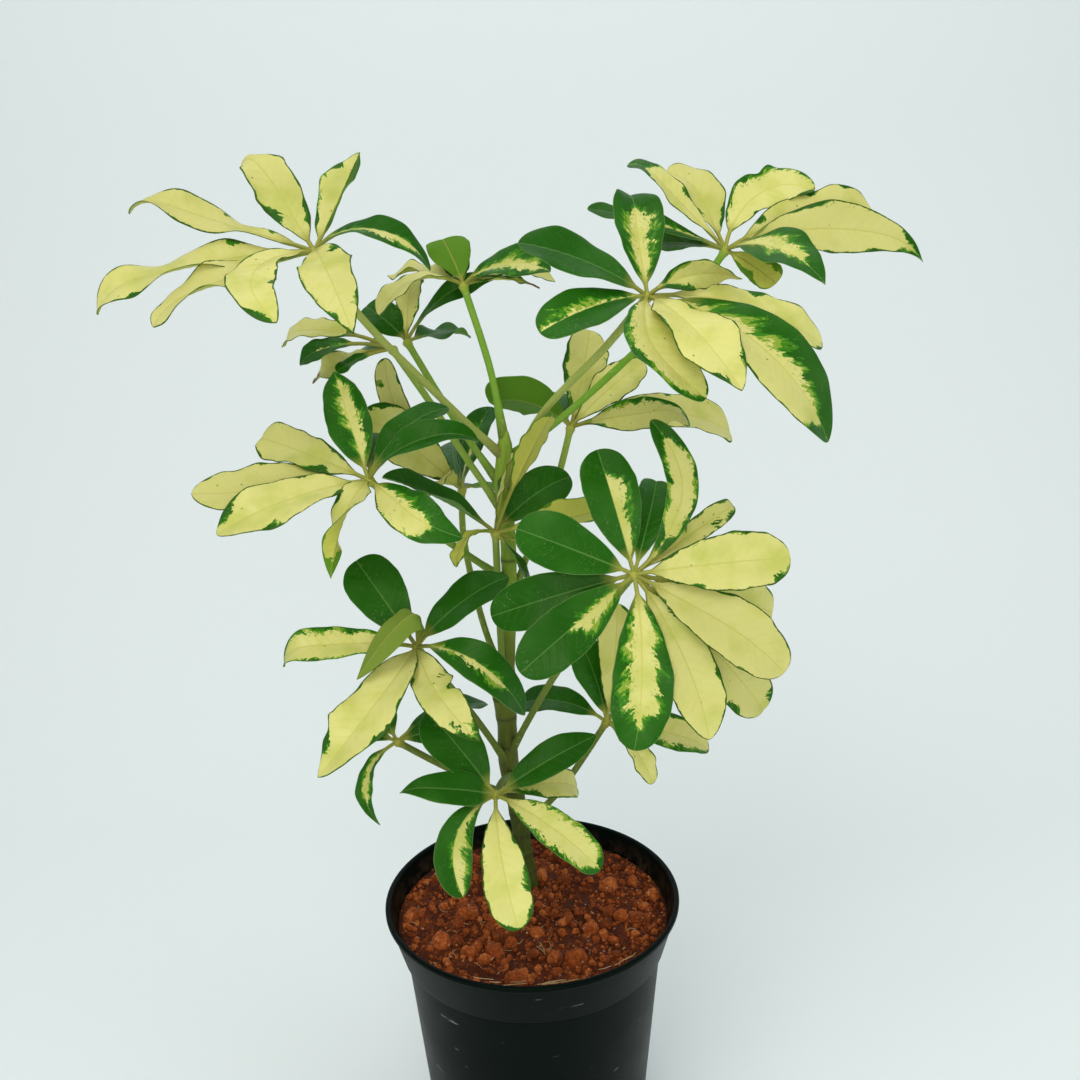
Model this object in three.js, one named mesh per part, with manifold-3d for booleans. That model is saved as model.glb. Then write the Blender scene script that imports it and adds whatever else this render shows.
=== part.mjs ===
// Potted umbrella plant: a black nursery pot, red soil, a woody stem and fifteen compound leaves.
// Millimetres, +Z up. The origin is the middle of the pot's foot, and the plant faces -Y.
import * as THREE from 'three';
import { mergeVertices } from 'three/addons/utils/BufferGeometryUtils.js';
import Module from 'manifold-3d';

const wasm = await Module();
wasm.setup();

// Driving sizes
const rimRadius = 75;
const potHeight = 140;
const footRadius = 55;
const bandHeight = 25;
const bandStep = 2;
const bandFlare = 7.4;
const bandEase = 1.4;
const lipInset = 2.8;
const lipDrop = 0.8;
const wall = 1.6;
const floorThickness = 2.4;
const drainHoles = 6;
const drainRadius = 4.5;
const soilTop = 129;
const soilMound = 2;
const clodCount = 16;
const gap = 0.35;
const bladeThickness = 0.9;
const stalkWidth = 1.8;
const baseTaper = 0.85;
const waveRate = 12;
const wideBlade = 32;
const petioleRadius = 1.65;
const hubRadius = 2.45;
const potSegments = 32;

const bandFoot = potHeight - bandHeight;
const bandFootRadius = rimRadius - bandFlare;
const innerBandRadius = bandFootRadius - bandStep - wall;
const innerSlope = (bandFlare + wall - lipInset) / (bandHeight - lipDrop - bandEase);
const soilRadius = bandFootRadius - wall - gap + innerSlope * (soilTop - bandFoot - bandEase);
const soilBottom = floorThickness + gap;
const goldenAngle = Math.PI * (3 - Math.sqrt(5));

const degrees = Math.PI / 180;

// Stem axis points and radius, from the part in the soil up to the bud
const stemRoute = [
  { at: [1, 23, 92], radius: 4.6 },
  { at: [-1, 22, 125], radius: 4.7 },
  { at: [-4, 20, 152], radius: 4.4 },
  { at: [-7, 18, 183], radius: 4.8 },
  { at: [-10, 16, 206], radius: 5.2 },
  { at: [-10, 15, 227], radius: 4.9 },
  { at: [-11, 14, 249], radius: 5.9 },
  { at: [-8, 14, 273], radius: 3.9 },
  { at: [-6, 13, 303], radius: 3.7 },
  { at: [-6, 12, 335], radius: 3.7 },
  { at: [-7, 11, 352], radius: 4.3 },
  { at: [-6, 10.5, 364], radius: 4.1 },
  { at: [-5.5, 10, 372], radius: 3.4 },
  { at: [-5, 10, 377], radius: 1.6 },
  { at: [-5, 10, 379], radius: 0.7 },
];

// Heights of the ring scars that shed leaves left on the stem
const scarHeights = [140, 151, 163, 176, 190, 216, 232, 243, 256, 282, 315];

// A leaflet: heading and rise of its chord, reach to its tip, width, then how it bends
const plainLeaflet = {
  bow: 0.1, lean: 0, sway: 0, turn: 0, twist: 0, hook: 0, veer: 0, fold: 12, wave: 1, stalk: 0.12, blunt: 0.5,
};

function leaflet(heading, rise, reach, width, bends = {}) {
  return { ...plainLeaflet, heading, rise, reach, width, ...bends };
}

// Each whorl: where its stalk leaves the stem, the stalk's route, its hub, the way it faces, its leaflets
const whorls = {
  leaf_top_left: {
    from: 365,
    via: [[-37, -7, 401], [-64, -27, 436]],
    hub: [-77, -40, 461],
    face: [245, 58],
    leaflets: [
      leaflet(180, 13, 74, 15, { bow: 0.05, hook: 0.2, wave: 3.2, blunt: 0.7 }),
      leaflet(190, -14, 88, 22, { bow: 0.11, hook: 0.12, wave: 3.8, blunt: 0.7 }),
      leaflet(213, -21, 71, 21, { bow: 0.08, hook: 0.1, wave: 3.6, blunt: 0.7 }),
      leaflet(261, -28, 52, 19, { bow: 0.22, sway: 0.34, hook: 0.1, wave: 2, stalk: 0.06, blunt: 0.6 }),
      leaflet(295, -32, 56, 21, { bow: 0.26, sway: -0.02, wave: 2, blunt: 0.95 }),
      leaflet(346, -10, 49, 14, { bow: 0.39, hook: 0.1, blunt: 0.7 }),
      leaflet(63, 48, 53, 18, { bow: 0, fold: 35, wave: 1.5, blunt: 0.8 }),
      leaflet(137, 48, 51, 18, { bow: -0.02, hook: 0.3, veer: -0.14, wave: 2.2, blunt: 0.75 }),
    ],
  },
  leaf_top_mid: {
    from: 372,
    via: [[-11, 14, 406]],
    hub: [-22, 20, 444],
    face: [230, 75],
    leaflets: [
      leaflet(130, 55, 25, 21, { blunt: 0.35 }),
      leaflet(209, -15, 43, 20, { bow: 0.3 }),
      leaflet(333, 7, 45, 20, { bow: 0.2, turn: 25, blunt: 0.7 }),
      leaflet(11, 0, 43, 18, { bow: 0.22, turn: 15, blunt: 0.7 }),
      leaflet(0, -4, 35, 6, { bow: 0.15 }),
      leaflet(146, 6, 42, 20, { bow: 0.15, wave: 2.5 }),
      leaflet(104, 34, 18, 12, { bow: 0.2 }),
    ],
  },
  leaf_top_young: {
    from: 350,
    via: [[-31, 26, 384]],
    hub: [-51, 35, 418],
    face: [240, 60],
    leaflets: [
      leaflet(164, 40, 26, 20),
      leaflet(80, 58, 36, 15),
      leaflet(6, 32, 56, 11, { bow: 0.2, turn: -40, twist: 150, blunt: 0.8 }),
      leaflet(42, 0, 38, 20, { wave: 3.2, blunt: 0.7 }),
      leaflet(100, 21, 44, 18),
    ],
  },
  leaf_left_small: {
    from: 336,
    via: [[-29, 11, 374], [-38, 11, 390]],
    hub: [-55, 10, 417],
    face: [255, 60],
    leaflets: [
      leaflet(190, -7, 42, 17, { bow: 0.2, hook: 0.06, stalk: 0.4, blunt: 0.7 }),
      leaflet(173, -21, 41, 16, { bow: 0.15, wave: 3, stalk: 0.25, blunt: 0.6 }),
      leaflet(164, 2, 54, 18, { bow: 0.2, hook: 0.12, stalk: 0.3 }),
      leaflet(207, -17, 28, 10, { stalk: 0.4 }),
      leaflet(132, -12, 36, 18),
    ],
  },
  leaf_mid_left: {
    from: 303,
    via: [[-40, -14, 338]],
    hub: [-62, -40, 367],
    face: [250, 50],
    leaflets: [
      leaflet(188, -1, 73, 27, { bow: -0.03, wave: 1.5, blunt: 0.65 }),
      leaflet(204, -13, 66, 26, { wave: 1.5, blunt: 0.65 }),
      leaflet(158, 17, 55, 20, { bow: 0.05, wave: 2, blunt: 0.35 }),
      leaflet(123, 57, 52, 20, { bow: 0.05, wave: 1.5, blunt: 0.9 }),
      leaflet(22, 37, 46, 17, { bow: 0.25, blunt: 0.65 }),
      leaflet(354, 19, 50, 16, { bow: 0.3, hook: 0.1, fold: 25, blunt: 0.65 }),
      leaflet(321, -30, 50, 20, { bow: 0.15, hook: 0.12, veer: -0.18, wave: 2, blunt: 0.85 }),
      leaflet(250, -41, 49, 19, { bow: 0.2, turn: -30, twist: 150, stalk: 0.05, blunt: 1.1 }),
      leaflet(82, 15, 46, 22, { bow: 0.2 }),
    ],
  },
  leaf_mid_back: {
    from: 252,
    via: [[-19, 22, 275], [-23, 27, 290], [-29, 38, 321]],
    hub: [-29, 45, 343],
    face: [230, 45],
    leaflets: [
      leaflet(172, 62, 75, 15, { sway: -0.14, wave: 2.5 }),
      leaflet(192, 42, 63, 26),
      leaflet(54, 56, 46, 20),
      leaflet(252, 8, 42, 20, { bow: 0.2 }),
      leaflet(60, -14, 38, 20),
      leaflet(97, 16, 56, 22),
      leaflet(316, 64, 34, 16),
    ],
  },
  leaf_centre: {
    from: 238,
    via: [[-11, 5, 276], [-11, -1, 308]],
    hub: [-11, -5, 333],
    face: [60, 80],
    leaflets: [
      leaflet(222, 31, 70, 17, { bow: 0.06, turn: -35, fold: 30, blunt: 0.7 }),
      leaflet(221, -26, 26, 9, { bow: 0.4 }),
      leaflet(335, 73, 40, 12, { turn: 60 }),
      leaflet(331, 61, 65, 16, { bow: 0.05, stalk: 0.35 }),
      leaflet(0, 11, 59, 24, { bow: 0, turn: -40 }),
      leaflet(25, 29, 45, 22, { turn: 50 }),
      leaflet(20, -39, 45, 16),
      leaflet(335, -60, 36, 16),
    ],
  },
  leaf_right_back: {
    from: 289,
    via: [[4, 19, 317], [16, 24, 342]],
    hub: [26, 30, 375],
    face: [300, 55],
    leaflets: [
      leaflet(61, 63, 50, 22),
      leaflet(8, 39, 47, 20),
      leaflet(10, -5, 81, 29, { bow: 0.2, wave: 1.5, blunt: 0.34 }),
      leaflet(342, 2, 57, 17, { bow: 0.12, twist: 120, hook: 0.25 }),
      leaflet(178, 19, 41, 33, { bow: 0.25, turn: 70 }),
      leaflet(71, 17, 54, 24, { bow: 0.15 }),
      leaflet(113, 12, 48, 22, { bow: 0.15 }),
    ],
  },
  leaf_top_front: {
    from: 348,
    via: [[10, -7, 385], [40, -34, 420]],
    hub: [55, -50, 440],
    face: [285, 50],
    leaflets: [
      leaflet(192, 23, 56, 24, { blunt: 0.6 }),
      leaflet(212, -12, 52, 21, { bow: 0.12, blunt: 0.45 }),
      leaflet(97, 52, 50, 23, { bow: 0, hook: 0.12, fold: 25 }),
      leaflet(355, 9, 37, 14, { bow: 0.24, twist: 130 }),
      leaflet(4, -17, 75, 20, { bow: 0.16 }),
      leaflet(340, -38, 91, 34, { bow: 0.24, blunt: 0.7 }),
      leaflet(302, -30, 64, 27, { bow: 0.16, sway: 0.05, wave: 2, blunt: 0.75 }),
      leaflet(272, -38, 54, 22, { bow: 0.15, sway: 0.12, hook: 0.05, veer: -0.3, blunt: 0.42 }),
    ],
  },
  leaf_top_right: {
    from: 364,
    via: [[14, 13, 377], [56, 15, 412], [88, 15, 444]],
    hub: [97, 15, 456],
    face: [290, 60],
    leaflets: [
      leaflet(118, 50, 46, 24, { bow: 0.02, hook: 0.1, veer: -0.25, wave: 2.6, stalk: 0.2, blunt: 0.45 }),
      leaflet(32, 35, 52, 23, { bow: 0.05, sway: -0.2, hook: 0.1, veer: 0.2, wave: 2.5, stalk: 0.18 }),
      leaflet(17, 10, 78, 25, { bow: 0.15, turn: 20, wave: 2.2 }),
      leaflet(2, -5, 91, 23, { bow: 0.19, turn: 22, twist: 45, hook: 0.06, wave: 2.2, blunt: 1.3 }),
      leaflet(310, -15, 56, 27, { bow: 0.2, turn: 12, wave: 1.6, blunt: 1.1 }),
      leaflet(173, 4, 37, 20, { stalk: 0.2 }),
      leaflet(189, 17, 66, 15, { bow: 0.05 }),
      leaflet(169, 41, 58, 17, { bow: 0.05, hook: 0.15 }),
      leaflet(330, -32, 28, 15, { bow: 0.05, turn: 35, wave: 0.4, blunt: 0.35 }),
    ],
  },
  leaf_front_right: {
    from: 209,
    via: [[16, -16, 268]],
    hub: [48, -60, 328],
    face: [275, 28],
    leaflets: [
      leaflet(132, 68, 54, 24, { bow: 0.05 }),
      leaflet(186, 25, 53, 24, { bow: 0.05, blunt: 0.45 }),
      leaflet(175, -17, 63, 22),
      leaflet(212, -28, 64, 23, { bow: 0.08 }),
      leaflet(264, -69, 72, 26, { bow: 0.08, sway: -0.05, blunt: 0.55 }),
      leaflet(325, -62, 75, 24, { bow: 0.06, sway: -0.07, blunt: 0.7 }),
      leaflet(346, -29, 73, 26, { bow: 0.08, veer: 0.06 }),
      leaflet(355, 6, 64, 25),
      leaflet(44, 62, 64, 14, { bow: 0.02, sway: 0.2, veer: -0.2 }),
      leaflet(68, 43, 47, 18, { bow: 0.15, fold: 30 }),
      leaflet(29, 23, 56, 12, { bow: 0.05, hook: 0.08, fold: 30 }),
      leaflet(8, -49, 88, 26, { bow: 0.12 }),
      leaflet(22, -22, 74, 24, { bow: 0.12 }),
    ],
  },
  leaf_low_right: {
    from: 165,
    via: [[16, 16, 189]],
    hub: [40, 10, 229],
    face: [300, 60],
    leaflets: [
      leaflet(165, 7, 46, 20, { bow: 0.25 }),
      leaflet(129, 63, 44, 24),
      leaflet(72, 65, 60, 20),
      leaflet(354, -16, 53, 23, { hook: 0.08, blunt: 0.7 }),
      leaflet(314, -38, 38, 13, { bow: 0.2 }),
      leaflet(33, 20, 56, 22),
      leaflet(67, -5, 52, 22, { bow: 0.2 }),
    ],
  },
  leaf_front_left: {
    from: 204,
    via: [[-25, -10, 244]],
    hub: [-45, -50, 295],
    face: [250, 55],
    leaflets: [
      leaflet(139, 42, 49, 25, { bow: 0.05 }),
      leaflet(18, 32, 50, 21, { bow: 0.15, blunt: 0.7 }),
      leaflet(185, -5, 57, 18, { bow: 0.18, hook: 0.25, blunt: 0.7 }),
      leaflet(215, -14, 30, 17, { bow: 0.85, lean: -0.6, stalk: 0.03, blunt: 0.75 }),
      leaflet(224, -37, 68, 27, { bow: 0.12, sway: -0.1, wave: 1.8, stalk: 0.03, blunt: 0.85 }),
      leaflet(308, -32, 53, 18, { bow: 0.12, sway: 0.1, wave: 2.4, stalk: 0.03, blunt: 0.9 }),
      leaflet(342, -29, 55, 18, { bow: 0.55, blunt: 0.8 }),
    ],
  },
  leaf_low_left: {
    from: 183,
    via: [[-42, 5, 210]],
    hub: [-63, -5, 229],
    face: [210, 55],
    leaflets: [
      leaflet(249, -56, 40, 10, { bow: 0.28, sway: 0.25, blunt: 1 }),
      leaflet(8, 6, 36, 17, { turn: 40 }),
      leaflet(30, 9, 50, 18, { bow: 0.15 }),
      leaflet(180, 9, 32, 18, { bow: 0.15 }),
      leaflet(113, 31, 34, 20, { bow: 0.15 }),
    ],
  },
  leaf_low_front: {
    from: 198,
    via: [[-12, -20, 214]],
    hub: [-14, -50, 223],
    face: [275, 50],
    leaflets: [
      leaflet(153, 46, 48, 25, { bow: 0.08 }),
      leaflet(12, 26, 53, 17, { blunt: 0.85 }),
      leaflet(191, 9, 43, 17, { bow: 0.17, hook: 0.15, stalk: 0.05, blunt: 1.3 }),
      leaflet(245, -43, 46, 17, { bow: 0.15, sway: 0.3 }),
      leaflet(285, -51, 58, 21, { bow: 0.15, sway: 0.06 }),
      leaflet(330, -24, 57, 18, { bow: 0.22 }),
      leaflet(28, -11, 43, 17, { bow: 0.25 }),
    ],
  },
};

const finishes = {
  potPlastic: new THREE.MeshStandardMaterial({ color: 0x1b1f1e, roughness: 0.42, metalness: 0 }),
  soil: new THREE.MeshStandardMaterial({ color: 0x8a3c1c, roughness: 0.95, metalness: 0 }),
  bark: new THREE.MeshStandardMaterial({ color: 0x6b7440, roughness: 0.7, metalness: 0 }),
  leaf: new THREE.MeshStandardMaterial({ color: 0x7f9a4a, roughness: 0.35, metalness: 0 }),
};

// A closed triangle geometry as a solid that can be joined and cut
function solidOf(geometry) {
  const bare = geometry.clone();
  bare.deleteAttribute('normal');
  bare.deleteAttribute('uv');
  const merged = mergeVertices(bare, 1e-4);
  const mesh = new wasm.Mesh({
    numProp: 3,
    vertProperties: new Float32Array(merged.attributes.position.array),
    triVerts: new Uint32Array(merged.index.array),
  });
  return new wasm.Manifold(mesh);
}

function geometryOf(solid) {
  const mesh = solid.getMesh();
  const geometry = new THREE.BufferGeometry();
  geometry.setAttribute('position', new THREE.BufferAttribute(new Float32Array(mesh.vertProperties), 3));
  geometry.setIndex(new THREE.BufferAttribute(new Uint32Array(mesh.triVerts), 1));
  return geometry;
}

// Skin through equal rings of points, with flat caps on the first and last
function skinRings(rings) {
  const sides = rings[0].length;
  const points = rings.flat();
  const faces = [];
  for (let ring = 0; ring < rings.length - 1; ring += 1) {
    for (let side = 0; side < sides; side += 1) {
      const a = ring * sides + side;
      const b = ring * sides + ((side + 1) % sides);
      faces.push(a, b, b + sides);
      faces.push(a, b + sides, a + sides);
    }
  }
  const last = (rings.length - 1) * sides;
  for (let side = 1; side < sides - 1; side += 1) {
    faces.push(0, side + 1, side);
    faces.push(last, last + side, last + side + 1);
  }
  const geometry = new THREE.BufferGeometry().setFromPoints(points);
  geometry.setIndex(faces);
  return geometry;
}

// Round rod along a curve, its radius a function of the way along
function rod(curve, stations, sides, radiusAt) {
  const frames = curve.computeFrenetFrames(stations, false);
  const rings = [];
  for (let station = 0; station <= stations; station += 1) {
    const centre = curve.getPointAt(station / stations);
    const radius = radiusAt(station / stations, centre);
    const ring = [];
    for (let side = 0; side < sides; side += 1) {
      const angle = (side / sides) * 2 * Math.PI;
      const point = centre.clone();
      point.addScaledVector(frames.normals[station], Math.cos(angle) * radius);
      point.addScaledVector(frames.binormals[station], Math.sin(angle) * radius);
      ring.push(point);
    }
    rings.push(ring);
  }
  return skinRings(rings);
}

// Unit vector of a heading from +X towards +Y and a rise above the level, in degrees
function direction(heading, rise) {
  const level = Math.cos(rise * degrees);
  return new THREE.Vector3(
    level * Math.cos(heading * degrees),
    level * Math.sin(heading * degrees),
    Math.sin(rise * degrees),
  );
}

const stemPoints = stemRoute.map((knot) => new THREE.Vector3(...knot.at));
const stemCurve = new THREE.CatmullRomCurve3(stemPoints);

function stemRadiusAt(height) {
  const upper = stemRoute.findIndex((knot) => knot.at[2] >= height);
  if (upper <= 0) return stemRoute[0].radius;
  const low = stemRoute[upper - 1];
  const high = stemRoute[upper];
  const share = (height - low.at[2]) / (high.at[2] - low.at[2]);
  return low.radius + (high.radius - low.radius) * share;
}

// The stem swells by half a millimetre at each ring scar
function scarSwell(height) {
  const nearest = Math.min(...scarHeights.map((scar) => Math.abs(scar - height)));
  return nearest < 3 ? 0.5 * (1 - nearest / 3) : 0;
}

function stemAxisAt(height) {
  let low = 0;
  let high = 1;
  for (let step = 0; step < 30; step += 1) {
    const middle = (low + high) / 2;
    if (stemCurve.getPointAt(middle).z < height) low = middle;
    else high = middle;
  }
  return stemCurve.getPointAt(low);
}

function stemGeometry(extra) {
  return rod(stemCurve, 32, 8, (share, centre) => {
    return stemRadiusAt(centre.z) + scarSwell(centre.z) + extra;
  });
}

// Middle line of a leaflet with the blade's right and up vectors at each station
function leafletSpine(hub, face, shape, stations) {
  const chord = direction(shape.heading, shape.rise);
  const up = direction(...face);
  up.addScaledVector(chord, -up.dot(chord));
  if (up.length() < 0.15) up.set(0, 0, 1).addScaledVector(chord, -chord.z);
  up.normalize();
  const right = chord.clone().cross(up);
  const lift = up.clone().multiplyScalar(shape.bow * shape.reach);
  lift.addScaledVector(right, shape.sway * shape.reach);
  const end = chord.clone().multiplyScalar(shape.reach * (1 + 0.6 * shape.hook));
  end.addScaledVector(up, shape.hook * shape.reach);
  const nearControl = chord.clone().multiplyScalar((0.3 + shape.lean) * shape.reach).add(lift);
  const farControl = chord.clone().multiplyScalar((0.72 + shape.lean) * shape.reach).add(lift);
  const bend = new THREE.CubicBezierCurve3(new THREE.Vector3(), nearControl, farControl, end);
  const pointAt = (share) => {
    const curl = Math.max(0, (share - 0.7) / 0.3) ** 2 * shape.hook * shape.reach;
    const swing = Math.max(0, (share - 0.5) / 0.5) ** 2 * shape.veer * shape.reach;
    const point = bend.getPoint(share).addScaledVector(up, -curl).addScaledVector(right, swing);
    return point.addScaledVector(chord, -0.6 * curl).add(hub);
  };
  const blade = up.clone();
  return stations.map((share) => {
    const along = pointAt(Math.min(1, share + 0.01)).sub(pointAt(Math.max(0, share - 0.01))).normalize();
    blade.addScaledVector(along, -blade.dot(along)).normalize();
    const across = along.clone().cross(blade);
    const eased = share * share * (3 - 2 * share);
    const roll = (shape.turn + shape.twist * eased) * degrees;
    const rolledUp = blade.clone().multiplyScalar(Math.cos(roll)).addScaledVector(across, Math.sin(roll));
    const rolledRight = across.clone().multiplyScalar(Math.cos(roll)).addScaledVector(blade, -Math.sin(roll));
    return { share, centre: pointAt(share), up: rolledUp, right: rolledRight };
  });
}

// Half width of the blade against its length, 1 at its widest
function bladeOutline(share, blunt) {
  const widest = baseTaper / (baseTaper + blunt);
  const peak = widest ** baseTaper * (1 - widest) ** blunt;
  return (share ** baseTaper * (1 - share) ** blunt) / peak;
}

// Leaflet: a thick stalk that widens to a thin blade, folded at its midrib, with waved margins
function leafletGeometry(hub, face, shape) {
  const bladeSteps = [0, 0.18, 0.42, 0.66, 0.87, 1];
  const stations = [0, ...bladeSteps.map((step) => shape.stalk + (1 - shape.stalk) * step)];
  const columns = shape.width >= wideBlade ? 4 : 2;
  const rings = leafletSpine(hub, face, shape, stations).map((station) => {
    const bladeShare = Math.max(0, (station.share - shape.stalk) / (1 - shape.stalk));
    const outline = bladeOutline(Math.min(1, bladeShare), shape.blunt);
    const halfWidth = Math.max(stalkWidth / 2, (shape.width / 2) * outline);
    const halfThickness = (outline > 0 ? bladeThickness : stalkWidth * 0.9) / 2;
    const surface = [];
    for (let column = 0; column <= columns; column += 1) {
      const side = (2 * column) / columns - 1;
      const spread = Math.abs(side);
      const phase = waveRate * station.share + shape.heading + (side < 0 ? 0 : 2.1);
      const wave = shape.wave * spread ** 1.5 * Math.sin(phase) * outline;
      const height = spread * halfWidth * Math.sin(shape.fold * degrees) + wave;
      const point = station.centre.clone();
      point.addScaledVector(station.right, side * halfWidth * Math.cos(shape.fold * degrees));
      surface.push(point.addScaledVector(station.up, height));
    }
    const top = surface.map((point) => point.clone().addScaledVector(station.up, halfThickness));
    const under = surface.map((point) => point.clone().addScaledVector(station.up, -halfThickness));
    return { top, under };
  });
  return skinBlade(rings, columns);
}

// Skin between the blade's two faces, split into triangles alike on both
function skinBlade(rings, columns) {
  const width = columns + 1;
  const points = rings.flatMap((ring) => [...ring.top, ...ring.under]);
  const top = (ring, column) => ring * 2 * width + column;
  const under = (ring, column) => top(ring, column) + width;
  const faces = [];
  const quad = (a, b, c, d) => faces.push(a, b, c, a, c, d);
  for (let ring = 0; ring < rings.length - 1; ring += 1) {
    for (let column = 0; column < columns; column += 1) {
      quad(top(ring, column), top(ring, column + 1), top(ring + 1, column + 1), top(ring + 1, column));
      faces.push(under(ring, column), under(ring + 1, column + 1), under(ring, column + 1));
      faces.push(under(ring, column), under(ring + 1, column), under(ring + 1, column + 1));
    }
    quad(top(ring + 1, 0), under(ring + 1, 0), under(ring, 0), top(ring, 0));
    quad(top(ring, columns), under(ring, columns), under(ring + 1, columns), top(ring + 1, columns));
  }
  const last = rings.length - 1;
  for (let column = 0; column < columns; column += 1) {
    quad(top(0, column + 1), top(0, column), under(0, column), under(0, column + 1));
    quad(top(last, column), top(last, column + 1), under(last, column + 1), under(last, column));
  }
  const geometry = new THREE.BufferGeometry().setFromPoints(points);
  geometry.setIndex(faces);
  return geometry;
}

// Stalk of a compound leaf: a swollen foot on the stem, and a knuckle that carries the leaflets
function petioleGeometry(whorl) {
  const foot = stemAxisAt(whorl.from);
  const hub = new THREE.Vector3(...whorl.hub);
  const route = [foot, ...whorl.via.map((point) => new THREE.Vector3(...point)), hub];
  const last = route[route.length - 2];
  route.push(hub.clone().addScaledVector(hub.clone().sub(last).normalize(), hubRadius * 0.7));
  const curve = new THREE.CatmullRomCurve3(route);
  const length = curve.getLength();
  return rod(curve, 7, 6, (share) => {
    const fromFoot = share * length;
    const fromHub = (1 - share) * length;
    if (fromHub < 4) return hubRadius * (0.55 + 0.45 * Math.min(1, fromHub / 2));
    return petioleRadius + Math.max(0, 1 - fromFoot / 22);
  });
}

function compoundLeaf(whorl, clearOf) {
  const hub = new THREE.Vector3(...whorl.hub);
  let solid = solidOf(petioleGeometry(whorl));
  for (const shape of whorl.leaflets) {
    solid = solid.add(solidOf(leafletGeometry(hub, whorl.face, shape)));
  }
  return geometryOf(solid.subtract(clearOf));
}

function turned(profile) {
  const outline = profile.map(([radius, height]) => new THREE.Vector2(radius, height));
  return new THREE.LatheGeometry(outline, potSegments).rotateX(Math.PI / 2);
}

function drainHole(angle, distance) {
  const plug = new THREE.CylinderGeometry(drainRadius, drainRadius, 4 * floorThickness, 8);
  plug.rotateX(Math.PI / 2).rotateZ(angle);
  return plug.translate(Math.cos(angle) * distance, Math.sin(angle) * distance, floorThickness / 2);
}

// Pot wall with its outward band and rolled lip, closed below by the drained floor
function potGeometry() {
  const outside = [
    [0, 0],
    [footRadius - 1, 0],
    [footRadius, 1],
    [bandFootRadius - bandStep, bandFoot],
    [bandFootRadius, bandFoot + 0.6],
    [rimRadius - 1.4, potHeight - 3.2],
    [rimRadius, potHeight - 2.4],
    [rimRadius, potHeight - 0.6],
    [rimRadius - 0.6, potHeight],
    [rimRadius - 2, potHeight],
  ];
  const inside = [
    [rimRadius - lipInset, potHeight - lipDrop],
    [bandFootRadius - wall, bandFoot + bandEase],
    [innerBandRadius, bandFoot - bandEase],
    [footRadius - wall, floorThickness],
    [0, floorThickness],
  ];
  let solid = solidOf(turned([...outside, ...inside]));
  for (let hole = 0; hole < drainHoles; hole += 1) {
    solid = solid.subtract(solidOf(drainHole((hole / drainHoles) * 2 * Math.PI, footRadius * 0.68)));
  }
  return geometryOf(solid);
}

// Height of the crumbly soil surface, heaped and uneven in the middle and level at the pot's wall
function soilHeight(x, y) {
  const ripple = Math.sin(x * 0.23 + 1.3) * Math.cos(y * 0.19) + 0.7 * Math.sin((x + 1.7 * y) * 0.11);
  const share = (x * x + y * y) / (soilRadius * soilRadius);
  return soilTop + soilMound * (1 - share) + 1.4 * ripple * (1 - share * share);
}

// A clod is a low lump with few faces, turned its own way
function clod(index) {
  const angle = index * goldenAngle;
  const distance = soilRadius * 0.85 * Math.sqrt((index + 0.6) / clodCount);
  const size = 3.4 + 2.6 * Math.abs(Math.sin(index * 12.7));
  const lump = new THREE.IcosahedronGeometry(size, 0);
  lump.rotateX(index * 1.9).rotateY(index * 0.7).scale(1, 0.85, 0.75);
  const x = Math.cos(angle) * distance;
  const y = Math.sin(angle) * distance;
  return lump.translate(x, y, soilHeight(x, y) + 0.1 * size);
}

// Soil fills the pot, with lumps on top and a plain hole for the stem
function soilGeometry() {
  const profile = [[0, soilBottom], [footRadius - wall - gap, soilBottom]];
  profile.push([innerBandRadius - gap, bandFoot - bandEase]);
  profile.push([innerBandRadius - gap + 1, bandFoot + 0.8]);
  profile.push([soilRadius, soilTop]);
  for (let ring = 1; ring <= 4; ring += 1) profile.push([soilRadius * (1 - ring / 4), soilTop]);
  const body = turned(profile);
  const position = body.attributes.position;
  for (let index = 0; index < position.count; index += 1) {
    if (position.getZ(index) < soilTop - 0.01) continue;
    position.setZ(index, soilHeight(position.getX(index), position.getY(index)));
  }
  let solid = solidOf(body);
  for (let index = 0; index < clodCount; index += 1) solid = solid.add(solidOf(clod(index)));
  return geometryOf(solid.subtract(solidOf(stemGeometry(gap))));
}

function subPart(name, geometry, material) {
  const mesh = new THREE.Mesh(geometry, material);
  mesh.name = name;
  return mesh;
}

const plant = new THREE.Group();
plant.add(subPart('pot', potGeometry(), finishes.potPlastic));
plant.add(subPart('soil', soilGeometry(), finishes.soil));
plant.add(subPart('stem', stemGeometry(0), finishes.bark));

const stemClearance = solidOf(stemGeometry(gap));
for (const [name, whorl] of Object.entries(whorls)) {
  plant.add(subPart(name, compoundLeaf(whorl, stemClearance), finishes.leaf));
}

export default plant;
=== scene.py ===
# Potted umbrella plant: a black nursery pot, red soil, a young stem and fifteen compound leaves.
# Sizes in the dictionaries are millimetres. The origin is the middle of the pot's foot; the plant faces -Y.
import math

import bmesh
import bpy
import numpy as np
from mathutils import Matrix, Vector, noise


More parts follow.
